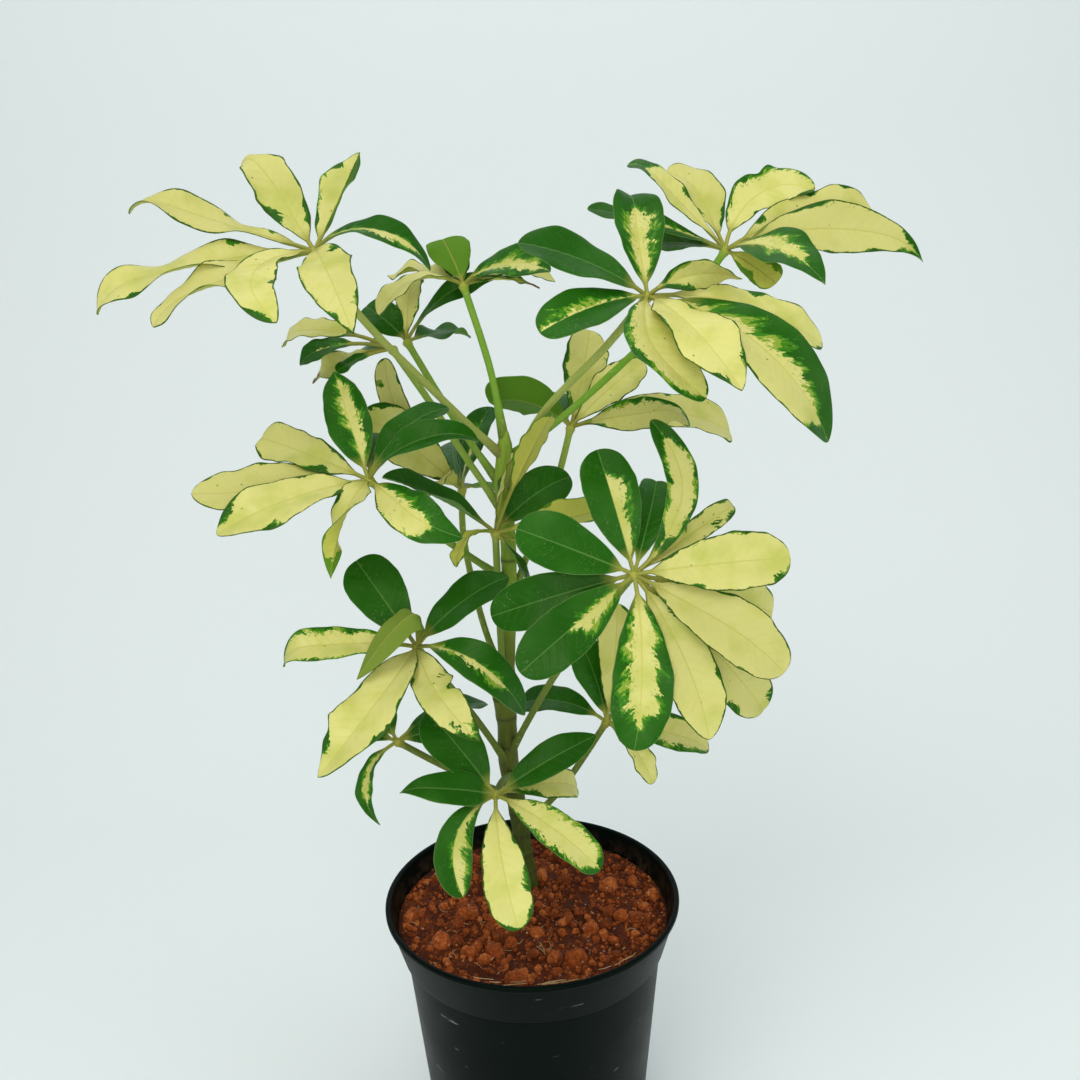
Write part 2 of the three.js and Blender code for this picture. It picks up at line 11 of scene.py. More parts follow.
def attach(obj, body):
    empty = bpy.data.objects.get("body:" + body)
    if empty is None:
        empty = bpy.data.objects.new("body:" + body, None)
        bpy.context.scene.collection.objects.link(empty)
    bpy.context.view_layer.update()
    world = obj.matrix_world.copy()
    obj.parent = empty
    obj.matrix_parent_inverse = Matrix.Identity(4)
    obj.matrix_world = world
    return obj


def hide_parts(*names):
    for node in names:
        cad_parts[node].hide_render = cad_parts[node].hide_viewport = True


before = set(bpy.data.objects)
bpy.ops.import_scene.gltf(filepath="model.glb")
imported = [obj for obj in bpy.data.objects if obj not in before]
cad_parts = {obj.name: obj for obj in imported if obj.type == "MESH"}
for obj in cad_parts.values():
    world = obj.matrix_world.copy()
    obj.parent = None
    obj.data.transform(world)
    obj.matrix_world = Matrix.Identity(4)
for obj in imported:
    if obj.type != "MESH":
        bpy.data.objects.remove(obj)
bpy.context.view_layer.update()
print("frame loaded")

mm = 0.001


def linear(hexColour):
    # sRGB hex to the linear colour that nodes take
    parts = [int(hexColour[start:start + 2], 16) / 255 for start in (1, 3, 5)]
    return [part / 12.92 if part <= 0.04045 else ((part + 0.055) / 1.055) ** 2.4 for part in parts] + [1.0]


def addNode(tree, kind, sockets=None, **settings):
    # A socket gets a value, an output to link from, or a node whose first live output is linked
    node = tree.nodes.new(kind)
    for name, value in settings.items():
        setattr(node, name, value)
    for name, value in (sockets or {}).items():
        if isinstance(name, int):
            target = node.inputs[name]
        else:
            target = next(socket for socket in node.inputs if socket.enabled and socket.name == name)
        if isinstance(value, bpy.types.Node):
            value = next(socket for socket in value.outputs if socket.enabled)
        if isinstance(value, bpy.types.NodeSocket):
            tree.links.new(value, target)
        else:
            target.default_value = value
    return node


def newFinish(name):
    finish = bpy.data.materials.new(name)
    finish.use_nodes = True
    finish.node_tree.nodes.clear()
    return finish, finish.node_tree


def newPiece(name, data):
    piece = bpy.data.objects.new(name, data)
    bpy.context.scene.collection.objects.link(piece)
    return piece


def meshOf(name, points, faces):
    # Points in millimetres to a mesh in metres, shaded smooth, its faces turned outward
    made = bpy.data.meshes.new(name)
    made.from_pydata((np.asarray(points) * mm).tolist(), [], faces)
    work = bmesh.new()
    work.from_mesh(made)
    bmesh.ops.recalc_face_normals(work, faces=work.faces)
    work.to_mesh(made)
    work.free()
    made.shade_smooth()
    return made


def ringsMesh(name, bottom, rings, top, segments):
    # A closed body from a bottom point through rings round the axis to a top point.
    # A ring's height is a number, or a function of x and y
    points = [(0, 0, bottom)]
    for radius, height in rings:
        for turn in range(segments):
            angle = 2 * math.pi * turn / segments
            x, y = radius * math.cos(angle), radius * math.sin(angle)
            points.append((x, y, height(x, y) if callable(height) else height))
    points.append((0, 0, top))
    faces = []
    for turn in range(segments):
        after = (turn + 1) % segments
        faces.append((0, 1 + after, 1 + turn))
        for ring in range(len(rings) - 1):
            low = 1 + ring * segments
            faces.append((low + turn, low + after, low + segments + after, low + segments + turn))
        last = 1 + (len(rings) - 1) * segments
        faces.append((last + turn, last + after, len(points) - 1))
    return meshOf(name, points, faces)


def storeMarks(mesh, marks):
    # Each mark is a value, a vector or a colour at every point
    kinds = {1: ("FLOAT", "value"), 3: ("FLOAT_VECTOR", "vector"), 4: ("FLOAT_COLOR", "color")}
    for mark, values in marks.items():
        values = np.asarray(values, np.float32)
        kind, field = kinds[1 if values.ndim == 1 else values.shape[1]]
        mesh.attributes.new(mark, kind, "POINT").data.foreach_set(field, values.ravel())


def smoothStep(low, high, value):
    share = np.clip((np.asarray(value, float) - low) / (high - low), 0, 1)
    return share * share * (3 - 2 * share)


# Camera at the photograph's viewing angle
cameraSet = {
    "place": (9.54, -489.07, 462.25),
    "downTilt": 15.4,
    "roll": -1.76,
    "focalLength": 36.1,
    "sensorWidth": 36,
}
lens = bpy.data.cameras.new("viewCamera")
lens.lens = cameraSet["focalLength"]
lens.sensor_width = cameraSet["sensorWidth"]
lens.clip_start = 0.01
lens.clip_end = 20
viewCamera = newPiece("viewCamera", lens)
tilt = Matrix.Rotation(math.radians(90 - cameraSet["downTilt"]), 4, "X")
roll = Matrix.Rotation(math.radians(cameraSet["roll"]), 4, "Z")
viewCamera.matrix_world = Matrix.Translation(Vector(cameraSet["place"]) * mm) @ tilt @ roll
bpy.context.scene.camera = viewCamera

# Pale studio sweep and soft light
studioSet = {
    "floorFront": -1900,
    "backWall": 900,
    "sweepRadius": 600,
    "wallHeight": 2600,
    "halfWidth": 2600,
    "sweepSteps": 24,
    "floorColour": "#eaf1f4",
    "skyColour": "#f0f4f0",
    "skyStrength": 0.58,
    "lights": [
        # name, place, aimed at, size, watts, colour
        ("keyLight", (-450, -900, 1500), (0, 0, 300), 900, 8, "#fffaf0"),
        ("fillLight", (1100, -500, 700), (0, 0, 250), 900, 2, "#fdfdf5"),
        ("frontLight", (0, -1100, 520), (0, 0, 280), 900, 3.5, "#fffdf6"),
        ("topLight", (100, 300, 1700), (0, 0, 200), 1100, 3.5, "#ffffff"),
    ],
}


def studioSweep():
    flat = studioSet["backWall"] - studioSet["sweepRadius"]
    profile = [(studioSet["floorFront"], 0.0)]
    for step in range(studioSet["sweepSteps"] + 1):
        angle = math.radians(90 * step / studioSet["sweepSteps"])
        reach = studioSet["sweepRadius"]
        profile.append((flat + reach * math.sin(angle), reach * (1 - math.cos(angle))))
    profile.append((studioSet["backWall"], studioSet["wallHeight"]))
    wide = studioSet["halfWidth"]
    points = [(side * wide, y, z) for y, z in profile for side in (-1, 1)]
    faces = [(2 * i, 2 * i + 1, 2 * i + 3, 2 * i + 2) for i in range(len(profile) - 1)]
    sweep = newPiece("studioSweep", meshOf("studioSweep", points, faces))
    # Matt painted board: an even pale grey that lets soft shadows show
    finish, tree = newFinish("paintedBoard")
    board = addNode(tree, "ShaderNodeBsdfPrincipled", {
        "Base Color": linear(studioSet["floorColour"]), "Roughness": 0.9, "Specular IOR Level": 0.2})
    addNode(tree, "ShaderNodeOutputMaterial", {"Surface": board})
    sweep.data.materials.append(finish)


def studioLights():
    for name, place, aim, size, watts, colour in studioSet["lights"]:
        lamp = bpy.data.lights.new(name, "AREA")
        lamp.shape = "DISK"
        lamp.size = size * mm
        lamp.energy = watts
        lamp.color = linear(colour)[:3]
        holder = newPiece(name, lamp)
        holder.location = Vector(place) * mm
        holder.rotation_euler = (Vector(aim) - Vector(place)).to_track_quat("-Z", "Y").to_euler()
    world = bpy.data.worlds.new("studioSky")
    world.use_nodes = True
    world.node_tree.nodes.clear()
    sky = addNode(world.node_tree, "ShaderNodeBackground", {
        "Color": linear(studioSet["skyColour"]), "Strength": studioSet["skyStrength"]})
    addNode(world.node_tree, "ShaderNodeOutputWorld", {"Surface": sky})
    bpy.context.scene.world = world
    bpy.context.scene.view_settings.view_transform = "Standard"


studioSweep()
studioLights()
print("studio ready")


# Routes: a smooth curve through knots, its parameter spaced by the root of each gap
def knotCurve(knots, steps=40):
    ends = [2 * knots[0] - knots[1], 2 * knots[-1] - knots[-2]]
    padded = [ends[0], *knots, ends[1]]
    points = []
    for index in range(1, len(padded) - 2):
        before, start, end, after = padded[index - 1:index + 3]
        gaps = [math.sqrt(np.linalg.norm(b - a)) for a, b in ((before, start), (start, end), (end, after))]
        leave = (start - before) / gaps[0] - (end - before) / (gaps[0] + gaps[1]) + (end - start) / gaps[1]
        arrive = (end - start) / gaps[1] - (after - start) / (gaps[1] + gaps[2]) + (after - end) / gaps[2]
        leave, arrive = leave * gaps[1], arrive * gaps[1]
        for step in range(steps):
            share = step / steps
            cubic = 2 * start - 2 * end + leave + arrive
            square = -3 * start + 3 * end - 2 * leave - arrive
            points.append(((cubic * share + square) * share + leave) * share + start)
    points.append(knots[-1])
    return np.array(points)


def evenly(points, spacing):
    # The curve's points again at even spacing, and each one's distance along it
    along = np.concatenate([[0], np.cumsum(np.linalg.norm(np.diff(points, axis=0), axis=1))])
    stations = np.linspace(0, along[-1], max(4, int(along[-1] / spacing) + 1))
    return np.stack([np.interp(stations, along, points[:, axis]) for axis in range(3)], 1), stations


def newTree(name, inputs):
    # A Geometry Nodes tree with a mesh in, a mesh out, and its other inputs by name, kind and usual value
    tree = bpy.data.node_groups.new(name, "GeometryNodeTree")
    tree.interface.new_socket("Geometry", in_out="OUTPUT", socket_type="NodeSocketGeometry")
    tree.interface.new_socket("Geometry", in_out="INPUT", socket_type="NodeSocketGeometry")
    for label, kind, value in inputs:
        socket = tree.interface.new_socket(label, in_out="INPUT", socket_type="NodeSocket" + kind)
        if value is not None:
            socket.default_value = value
    return tree


# Round stalk along a route: Geometry Nodes sweep a circle scaled by each point's girth
def roundStalkTree():
    tree = newTree("roundStalk", [
        ("Sides", "Int", 16),
        ("Relief", "Float", 0.0001),
        ("Relief Scale", "Float", 300.0),
        ("Material", "Material", None),
    ])
    given = addNode(tree, "NodeGroupInput").outputs
    girth = addNode(tree, "GeometryNodeInputNamedAttribute", {"Name": "girth"}, data_type="FLOAT")
    path = addNode(tree, "GeometryNodeMeshToCurve", {"Mesh": given["Geometry"]})
    ring = addNode(tree, "GeometryNodeCurvePrimitiveCircle", {"Resolution": given["Sides"], "Radius": 1.0})
    tube = addNode(tree, "GeometryNodeCurveToMesh", {
        "Curve": path, "Profile Curve": ring, "Scale": girth, "Fill Caps": True})
    grain = addNode(tree, "ShaderNodeTexNoise", {"Scale": given["Relief Scale"], "Detail": 2.0})
    lift = addNode(tree, "ShaderNodeMath", {0: grain, 1: 0.5}, operation="SUBTRACT")
    height = addNode(tree, "ShaderNodeMath", {0: lift, 1: given["Relief"]}, operation="MULTIPLY")
    normal = addNode(tree, "GeometryNodeInputNormal")
    offset = addNode(tree, "ShaderNodeVectorMath", {0: normal, "Scale": height}, operation="SCALE")
    moved = addNode(tree, "GeometryNodeSetPosition", {"Geometry": tube, "Offset": offset})
    smooth = addNode(tree, "GeometryNodeSetShadeSmooth", {"Geometry": moved, "Shade Smooth": True})
    real = addNode(tree, "GeometryNodeRealizeInstances", {"Geometry": smooth})
    dressed = addNode(tree, "GeometryNodeSetMaterial", {"Geometry": real, "Material": given["Material"]})
    addNode(tree, "NodeGroupOutput", {"Geometry": dressed})
    return tree


def runNodes(name, base, tree, inputs):
    # Runs a node tree on a base mesh and keeps the result as a plain mesh
    holder = newPiece(name + "Base", base)
    modifier = holder.modifiers.new("build", "NODES")
    modifier.node_group = tree
    for item in tree.interface.items_tree:
        if item.in_out == "INPUT" and item.name in inputs:
            modifier[item.identifier] = inputs[item.name]
    graph = bpy.context.evaluated_depsgraph_get()
    made = bpy.data.meshes.new_from_object(holder.evaluated_get(graph), depsgraph=graph)
    made.name = name
    holder.modifiers.remove(modifier)
    bpy.data.objects.remove(holder)
    return made


def routeMesh(name, routes, marks):
    # Open lines through each route's points, with a value of each mark at every point
    points = np.concatenate(routes)
    edges = []
    start = 0
    for route in routes:
        edges += [(start + index, start + index + 1) for index in range(len(route) - 1)]
        start += len(route)
    base = bpy.data.meshes.new(name)
    base.from_pydata((points * mm).tolist(), edges, [])
    storeMarks(base, marks)
    return base


stalkTree = roundStalkTree()

# Stem
stemSet = {
    "route": [
        # x, y, z, radius
        (1, 23, 92, 4.6),
        (-1, 22, 125, 4.7),
        (-4, 20, 152, 4.4),
        (-7, 18, 183, 4.8),
        (-10, 16, 206, 5.2),
        (-10, 15, 227, 4.9),
        (-11, 14, 249, 5.9),
        (-8, 14, 273, 3.9),
        (-6, 13, 303, 3.7),
        (-6, 12, 335, 3.7),
        (-7, 11, 352, 4.3),
        (-6, 10.5, 364, 4.1),
        (-5.5, 10, 372, 3.4),
        (-5, 10, 377, 1.6),
        (-5, 10, 379, 0.7),
    ],
    "scarHeights": [140, 151, 163, 176, 190, 216, 232, 243, 256, 282, 315],
    "scarSwell": 0.5,
    "scarReach": 3,
    "grooveDepth": 0.25,
    "grooveWidth": 0.45,
    "budLength": 1.2,
    "spacing": 0.8,
    "sides": 28,
    "relief": 0.35,
    "reliefScale": 260.0,
    "lowColour": "#3f4c1b",
    "midColour": "#5f6b22",
    "highColour": "#85a236",
    "streakColour": "#6a722c",
    "poreColour": "#7f8248",
    "scarColour": "#3b3a20",
}
stemKnots = np.array([knot[:3] for knot in stemSet["route"]], float)
stemRadii = np.array([knot[3] for knot in stemSet["route"]], float)
stemCurve = knotCurve(stemKnots)


def stemAxisAt(height):
    return np.array([np.interp(height, stemCurve[:, 2], stemCurve[:, axis]) for axis in range(3)])


def youngBark():
    # Young green bark: smooth corky skin, olive low down and fresh green under the leaves, with darker
    # ring scars
    finish, tree = newFinish("youngBark")
    place = addNode(tree, "ShaderNodeTexCoord").outputs["Object"]
    height = addNode(tree, "ShaderNodeSeparateXYZ", {"Vector": place}).outputs["Z"]
    scar = addNode(tree, "ShaderNodeAttribute", attribute_name="scar").outputs["Fac"]
    patch = addNode(tree, "ShaderNodeTexNoise", {"Vector": place, "Scale": 90.0, "Detail": 3.0})
    wander = addNode(tree, "ShaderNodeMath", {0: patch, 1: 0.05, 2: height}, operation="MULTIPLY_ADD")
    low = addNode(tree, "ShaderNodeMapRange", {
        "Value": wander, "From Min": 0.19, "From Max": 0.275}, interpolation_type="SMOOTHSTEP")
    high = addNode(tree, "ShaderNodeMapRange", {
        "Value": wander, "From Min": 0.28, "From Max": 0.33}, interpolation_type="SMOOTHSTEP")
    bark = addNode(tree, "ShaderNodeMix", {
        "Factor": low, "A": linear(stemSet["lowColour"]), "B": linear(stemSet["midColour"])},
        data_type="RGBA")
    stretched = addNode(tree, "ShaderNodeMapping", {"Vector": place, "Scale": (1.0, 1.0, 0.22)})
    streak = addNode(tree, "ShaderNodeTexNoise", {"Vector": stretched, "Scale": 900.0, "Detail": 3.0})
    streakShare = addNode(tree, "ShaderNodeMapRange", {
        "Value": streak, "From Min": 0.42, "From Max": 0.7, "To Max": 0.35})
    # Pale breathing pores about 1 mm across, 3 mm apart
    pore = addNode(tree, "ShaderNodeTexVoronoi", {"Vector": place, "Scale": 330.0})
    poreShare = addNode(tree, "ShaderNodeMapRange", {
        "Value": pore.outputs["Distance"], "From Min": 0.12, "From Max": 0.2, "To Min": 0.25, "To Max": 0.0})
    layers = [
        (high, "highColour"),
        (streakShare, "streakColour"),
        (poreShare, "poreColour"),
        (scar, "scarColour"),
    ]
    for layer, colour in layers:
        bark = addNode(tree, "ShaderNodeMix", {
            "Factor": layer, "A": bark, "B": linear(stemSet[colour])}, data_type="RGBA")
    relief = addNode(tree, "ShaderNodeBump", {"Height": streak, "Strength": 0.5, "Distance": 0.0004})
    skin = addNode(tree, "ShaderNodeBsdfPrincipled", {
        "Base Color": bark, "Roughness": 0.62, "IOR": 1.45, "Specular IOR Level": 0.25, "Normal": relief})
    addNode(tree, "ShaderNodeOutputMaterial", {"Surface": skin})
    return finish


def buildStem():
    points = evenly(stemCurve, stemSet["spacing"])[0]
    heights = points[:, 2]
    girth = np.interp(heights, stemKnots[:, 2], stemRadii)
    gaps = np.abs(heights[:, None] - np.array(stemSet["scarHeights"])[None, :]).min(1)
    girth = girth + stemSet["scarSwell"] * np.clip(1 - gaps / stemSet["scarReach"], 0, 1) ** 1.5
    girth = girth - stemSet["grooveDepth"] * np.exp(-((gaps - 0.2) / stemSet["grooveWidth"]) ** 2)
    # The bud closes to a blunt point
    girth = girth * np.sqrt(np.clip((heights[-1] - heights) / stemSet["budLength"], 0.02, 1))
    marks = {"girth": girth * mm, "scar": 0.75 * np.exp(-(gaps / 0.8) ** 2)}
    base = routeMesh("stemRoute", [points], marks)
    made = runNodes("stem", base, stalkTree, {
        "Sides": stemSet["sides"], "Relief": stemSet["relief"] * mm,
        "Relief Scale": stemSet["reliefScale"], "Material": youngBark()})
    stem = newPiece("youngStem", made)
    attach(stem, "root")
    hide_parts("stem")


buildStem()
print("stem built")

# Pot
potSet = {
    "rimRadius": 75,
    "height": 140,
    "footRadius": 55,
    "bandHeight": 25,
    "bandStep": 2,
    "bandFlare": 7.4,
    "wall": 1.6,
    "bandEase": 1.4,
    "lipInset": 2.8,
    "lipDrop": 0.8,
    "floor": 2.4,
    "drainHoles": 6,
    "drainRadius": 4.5,
    "drainCircle": 0.68,
    "drainSides": 40,
    "drillDepth": 10,
    "sharpAngle": 40,
    "segments": 160,
    "cornerRadius": 0.7,
    # Soil dust clings inside a cone, over the step and up to where it fades
    "dustSlope": 0.272,
    "dustRadius": 35,
    "dustFoot": 119,
    "dustFade": (126, 138.5),
    "dustColour": "#5a4032",
    "cloudColours": ("#020604", "#070c0a"),
    "scuffColour": "#6f7673",
    "shineTint": "#a8e6cc",
}
bandFoot = potSet["height"] - potSet["bandHeight"]
bandFootRadius = potSet["rimRadius"] - potSet["bandFlare"]
innerBandRadius = bandFootRadius - potSet["bandStep"] - potSet["wall"]


def rounded(corners, radius=0.5, steps=4):
    # An open profile with its corners rounded, each no more than a third into its sides
    corners = [np.array(corner, float) for corner in corners]
    smooth = [corners[0]]
    for before, corner, after in zip(corners, corners[1:], corners[2:]):
        back, onward = before - corner, after - corner
        reach = min(radius, np.linalg.norm(back) / 3, np.linalg.norm(onward) / 3)
        start = corner + back / np.linalg.norm(back) * reach
        end = corner + onward / np.linalg.norm(onward) * reach
        for step in range(steps + 1):
            share = step / steps
            smooth.append(start * (1 - share) ** 2 + 2 * corner * share * (1 - share) + end * share ** 2)
    return smooth + [corners[-1]]


def potPlastic():
    # Injection-moulded polypropylene: near black with a green cast, satin, dusty by the soil, lightly scuffed
    finish, tree = newFinish("mouldedPolypropylene")
    place = addNode(tree, "ShaderNodeTexCoord").outputs["Object"]
    height = addNode(tree, "ShaderNodeSeparateXYZ", {"Vector": place}).outputs["Z"]
    cloud = addNode(tree, "ShaderNodeTexNoise", {"Vector": place, "Scale": 22.0, "Detail": 3.0})
    toned = addNode(tree, "ShaderNodeMix", {
        "Factor": cloud, "A": linear(potSet["cloudColours"][0]), "B": linear(potSet["cloudColours"][1])},
        data_type="RGBA")
    # Soil dust clings inside, from the soil up to the lip
    inside = addNode(tree, "ShaderNodeVectorMath", {0: place, 1: (1.0, 1.0, 0.0)}, operation="MULTIPLY")
    radius = addNode(tree, "ShaderNodeVectorMath", {0: inside}, operation="LENGTH")
    slant = addNode(tree, "ShaderNodeMath", {
        0: height, 1: potSet["dustSlope"], 2: potSet["dustRadius"] * mm}, operation="MULTIPLY_ADD")
    within = addNode(tree, "ShaderNodeMath", {0: radius.outputs["Value"], 1: slant}, operation="LESS_THAN")
    above = addNode(tree, "ShaderNodeMapRange", {
        "Value": height, "From Min": potSet["dustFade"][0] * mm, "From Max": potSet["dustFade"][1] * mm,
        "To Min": 1.0, "To Max": 0.0})
    overStep = addNode(tree, "ShaderNodeMath", {
        0: height, 1: potSet["dustFoot"] * mm}, operation="GREATER_THAN")
    nearSoil = addNode(tree, "ShaderNodeMath", {0: above, 1: overStep}, operation="MULTIPLY")
    smear = addNode(tree, "ShaderNodeTexNoise", {
        "Vector": place, "Scale": 130.0, "Detail": 5.0, "Roughness": 0.7})
    smearShare = addNode(tree, "ShaderNodeMapRange", {
        "Value": smear, "From Min": 0.42, "From Max": 0.68, "To Max": 0.75})
    dusted = addNode(tree, "ShaderNodeMath", {0: nearSoil, 1: smearShare}, operation="MULTIPLY")
    dustShare = addNode(tree, "ShaderNodeMath", {0: dusted, 1: within}, operation="MULTIPLY")
    dusty = addNode(tree, "ShaderNodeMix", {
        "Factor": dustShare, "A": toned, "B": linear(potSet["dustColour"])}, data_type="RGBA")
    # Scuffs: short pale level scratches, drawn 0.4 mm wide so that they show
    long = addNode(tree, "ShaderNodeMapping", {"Vector": place, "Scale": (0.22, 0.22, 1.6)})
    scuff = addNode(tree, "ShaderNodeTexNoise", {
        "Vector": long, "Scale": 420.0, "Detail": 2.0, "Roughness": 0.4})
    where = addNode(tree, "ShaderNodeTexNoise", {"Vector": place, "Scale": 34.0, "Detail": 1.0})
    scuffLine = addNode(tree, "ShaderNodeMapRange", {"Value": scuff, "From Min": 0.7, "From Max": 0.76})
    scuffPatch = addNode(tree, "ShaderNodeMapRange", {"Value": where, "From Min": 0.52, "From Max": 0.62})
    scuffShare = addNode(tree, "ShaderNodeMath", {0: scuffLine, 1: scuffPatch}, operation="MULTIPLY")
    scuffed = addNode(tree, "ShaderNodeMix", {
        "Factor": scuffShare, "A": dusty, "B": linear(potSet["scuffColour"])}, data_type="RGBA")
    gloss = addNode(tree, "ShaderNodeMapRange", {
        "Value": cloud, "From Min": 0.3, "From Max": 0.7, "To Min": 0.36, "To Max": 0.5})
    grit = addNode(tree, "ShaderNodeMath", {0: dustShare, 1: 0.45, 2: gloss}, operation="MULTIPLY_ADD")
    fine = addNode(tree, "ShaderNodeTexNoise", {"Vector": place, "Scale": 1400.0, "Detail": 2.0})
    relief = addNode(tree, "ShaderNodeBump", {"Height": fine, "Strength": 0.16, "Distance": 0.0002})
    plastic = addNode(tree, "ShaderNodeBsdfPrincipled", {
        "Base Color": scuffed, "Roughness": grit, "IOR": 1.49, "Specular IOR Level": 0.065,
        "Specular Tint": linear(potSet["shineTint"]), "Normal": relief})
    addNode(tree, "ShaderNodeOutputMaterial", {"Surface": plastic})
    return finish


def buildPot():
    wall, rim, top = potSet["wall"], potSet["rimRadius"], potSet["height"]
    outside = [
        (0, 0),
        (potSet["footRadius"] - 1, 0),
        (potSet["footRadius"], 1),
        (bandFootRadius - potSet["bandStep"], bandFoot),
        (bandFootRadius, bandFoot + 0.6),
        (rim - 1.4, top - 3.2),
        (rim, top - 2.4),
        (rim, top - 0.6),
        (rim - 0.6, top),
        (rim - 2, top),
    ]
    inside = [
        (rim - potSet["lipInset"], top - potSet["lipDrop"]),
        (bandFootRadius - wall, bandFoot + potSet["bandEase"]),
        (innerBandRadius, bandFoot - potSet["bandEase"]),
        (potSet["footRadius"] - wall, potSet["floor"]),
        (0, potSet["floor"]),
    ]
    profile = rounded(outside + inside, potSet["cornerRadius"])
    shell = newPiece("nurseryPot", ringsMesh(
        "nurseryPot", profile[0][1], profile[1:-1], profile[-1][1], potSet["segments"]))
    cutters = bmesh.new()
    for hole in range(potSet["drainHoles"]):
        angle = hole / potSet["drainHoles"] * 2 * math.pi
        reach = potSet["footRadius"] * potSet["drainCircle"] * mm
        spot = Vector((math.cos(angle) * reach, math.sin(angle) * reach, potSet["floor"] * mm / 2))
        bmesh.ops.create_cone(
            cutters, cap_ends=True, segments=potSet["drainSides"], radius1=potSet["drainRadius"] * mm,
            radius2=potSet["drainRadius"] * mm, depth=potSet["drillDepth"] * mm,
            matrix=Matrix.Translation(spot))
    drill = bpy.data.meshes.new("drainDrill")
    cutters.to_mesh(drill)
    cutters.free()
    tool = newPiece("drainDrill", drill)
    cut = shell.modifiers.new("drain", "BOOLEAN")
    cut.operation = "DIFFERENCE"
    cut.object = tool
    graph = bpy.context.evaluated_depsgraph_get()
    bored = bpy.data.meshes.new_from_object(shell.evaluated_get(graph), depsgraph=graph)
    shell.modifiers.clear()
    bpy.data.objects.remove(tool)
    shell.data = bored
    bored.materials.clear()
    bored.materials.append(potPlastic())
    bored.set_sharp_from_angle(angle=math.radians(potSet["sharpAngle"]))
    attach(shell, "root")
    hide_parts("pot")


buildPot()
print("pot built")

# Soil
soilSet = {
    "top": 129,
    "mound": 2,
    "gap": 0.35,
    "clods": 16,
    "clodDetail": 3,
    "clodRoughness": 0.8,
    "clodSeed": 2,
    "rings": 60,
    "segments": 180,
    "crumbSeed": 4,
    "crumbRoughness": 0.9,
    "crumbShapeSeed": 3,
    "crumbs": [
        # name, count, smallest and largest radius, rounds of subdivision
        ("lumps", 90, 2.6, 4.6, 2),
        ("pebbles", 700, 1.3, 2.8, 1),
        ("grains", 2600, 0.4, 1.2, 1),
    ],
    "colour": "#ad541d",
    "paleColour": "#c0743e",
    "darkColour": "#4a1c06",
    "quartzColour": "#b98a68",
    "straws": 44,
    "strawSeed": 11,
    "strawPoints": 7,
    "strawRadius": (0.09, 0.17),
    "strawLength": (2.5, 6),
    "rimStrawLength": (5, 13),
    "strawColours": ("#8a6a42", "#c9b184"),
}
innerRise = potSet["bandHeight"] - potSet["lipDrop"] - potSet["bandEase"]
innerSlope = (potSet["bandFlare"] + potSet["wall"] - potSet["lipInset"]) / innerRise
soilRise = soilSet["top"] - bandFoot - potSet["bandEase"]
soilRadius = bandFootRadius - potSet["wall"] - soilSet["gap"] + innerSlope * soilRise
goldenAngle = math.pi * (3 - math.sqrt(5))


def soilHeight(x, y):
    ripple = math.sin(x * 0.23 + 1.3) * math.cos(y * 0.19) + 0.7 * math.sin((x + 1.7 * y) * 0.11)
    share = (x * x + y * y) / soilRadius ** 2
    return soilSet["top"] + soilSet["mound"] * (1 - share) + 1.4 * ripple * (1 - share * share)


def soilGround(x, y):
    # The solid's rolling surface with finer lumps, about 6 and 2.5 mm apart
    share = min(1, (x * x + y * y) / soilRadius ** 2)
    lump = noise.noise(Vector((x * 0.17, y * 0.17, 3.1))) + 0.5 * noise.noise(Vector((x * 0.4, y * 0.4, 7.7)))
    return soilHeight(x, y) + 0.9 * lump * (1 - share ** 6)


def soilTree():
    tree = newTree("looseSoil", [
        ("Detail", "Int", 2),
        ("Roughness", "Float", 0.3),
        ("Seed", "Int", 4),
        ("Material", "Material", None),
    ])
    given = addNode(tree, "NodeGroupInput").outputs
    size = addNode(tree, "GeometryNodeInputNamedAttribute", {"Name": "girth"}, data_type="FLOAT")
    ball = addNode(tree, "GeometryNodeMeshIcoSphere", {"Radius": 1.0, "Subdivisions": given["Detail"]})
    spin = addNode(tree, "FunctionNodeRandomValue", {
        "Min": (0.0, 0.0, 0.0), "Max": (6.28, 6.28, 6.28), "Seed": given["Seed"]}, data_type="FLOAT_VECTOR")
    squash = addNode(tree, "FunctionNodeRandomValue", {
        "Min": (0.8, 0.7, 0.6), "Max": (1.05, 0.95, 0.85), "Seed": given["Seed"]}, data_type="FLOAT_VECTOR")
    scale = addNode(tree, "ShaderNodeVectorMath", {0: squash, "Scale": size}, operation="SCALE")
    points = addNode(tree, "GeometryNodeMeshToPoints", {"Mesh": given["Geometry"], "Radius": 0.001})
    placed = addNode(tree, "GeometryNodeInstanceOnPoints", {
        "Points": points, "Instance": ball, "Rotation": spin, "Scale": scale})
    shade = addNode(tree, "FunctionNodeRandomValue", {
        "Min": 0.25, "Max": 1.0, "Seed": given["Seed"]}, data_type="FLOAT")
    tinted = addNode(tree, "GeometryNodeStoreNamedAttribute", {
        "Geometry": placed, "Name": "tint", "Value": shade}, data_type="FLOAT", domain="INSTANCE")
    real = addNode(tree, "GeometryNodeRealizeInstances", {"Geometry": tinted})
    grain = addNode(tree, "ShaderNodeTexNoise", {"Scale": 260.0, "Detail": 2.0})
    centred = addNode(tree, "ShaderNodeVectorMath", {
        0: grain.outputs["Color"], 1: (0.5, 0.5, 0.5)}, operation="SUBTRACT")
    reach = addNode(tree, "ShaderNodeMath", {0: size, 1: given["Roughness"]}, operation="MULTIPLY")
    shift = addNode(tree, "ShaderNodeVectorMath", {0: centred, "Scale": reach}, operation="SCALE")
    shaped = addNode(tree, "GeometryNodeSetPosition", {"Geometry": real, "Offset": shift})
    dressed = addNode(tree, "GeometryNodeSetMaterial", {"Geometry": shaped, "Material": given["Material"]})
    addNode(tree, "NodeGroupOutput", {"Geometry": dressed})
    return tree


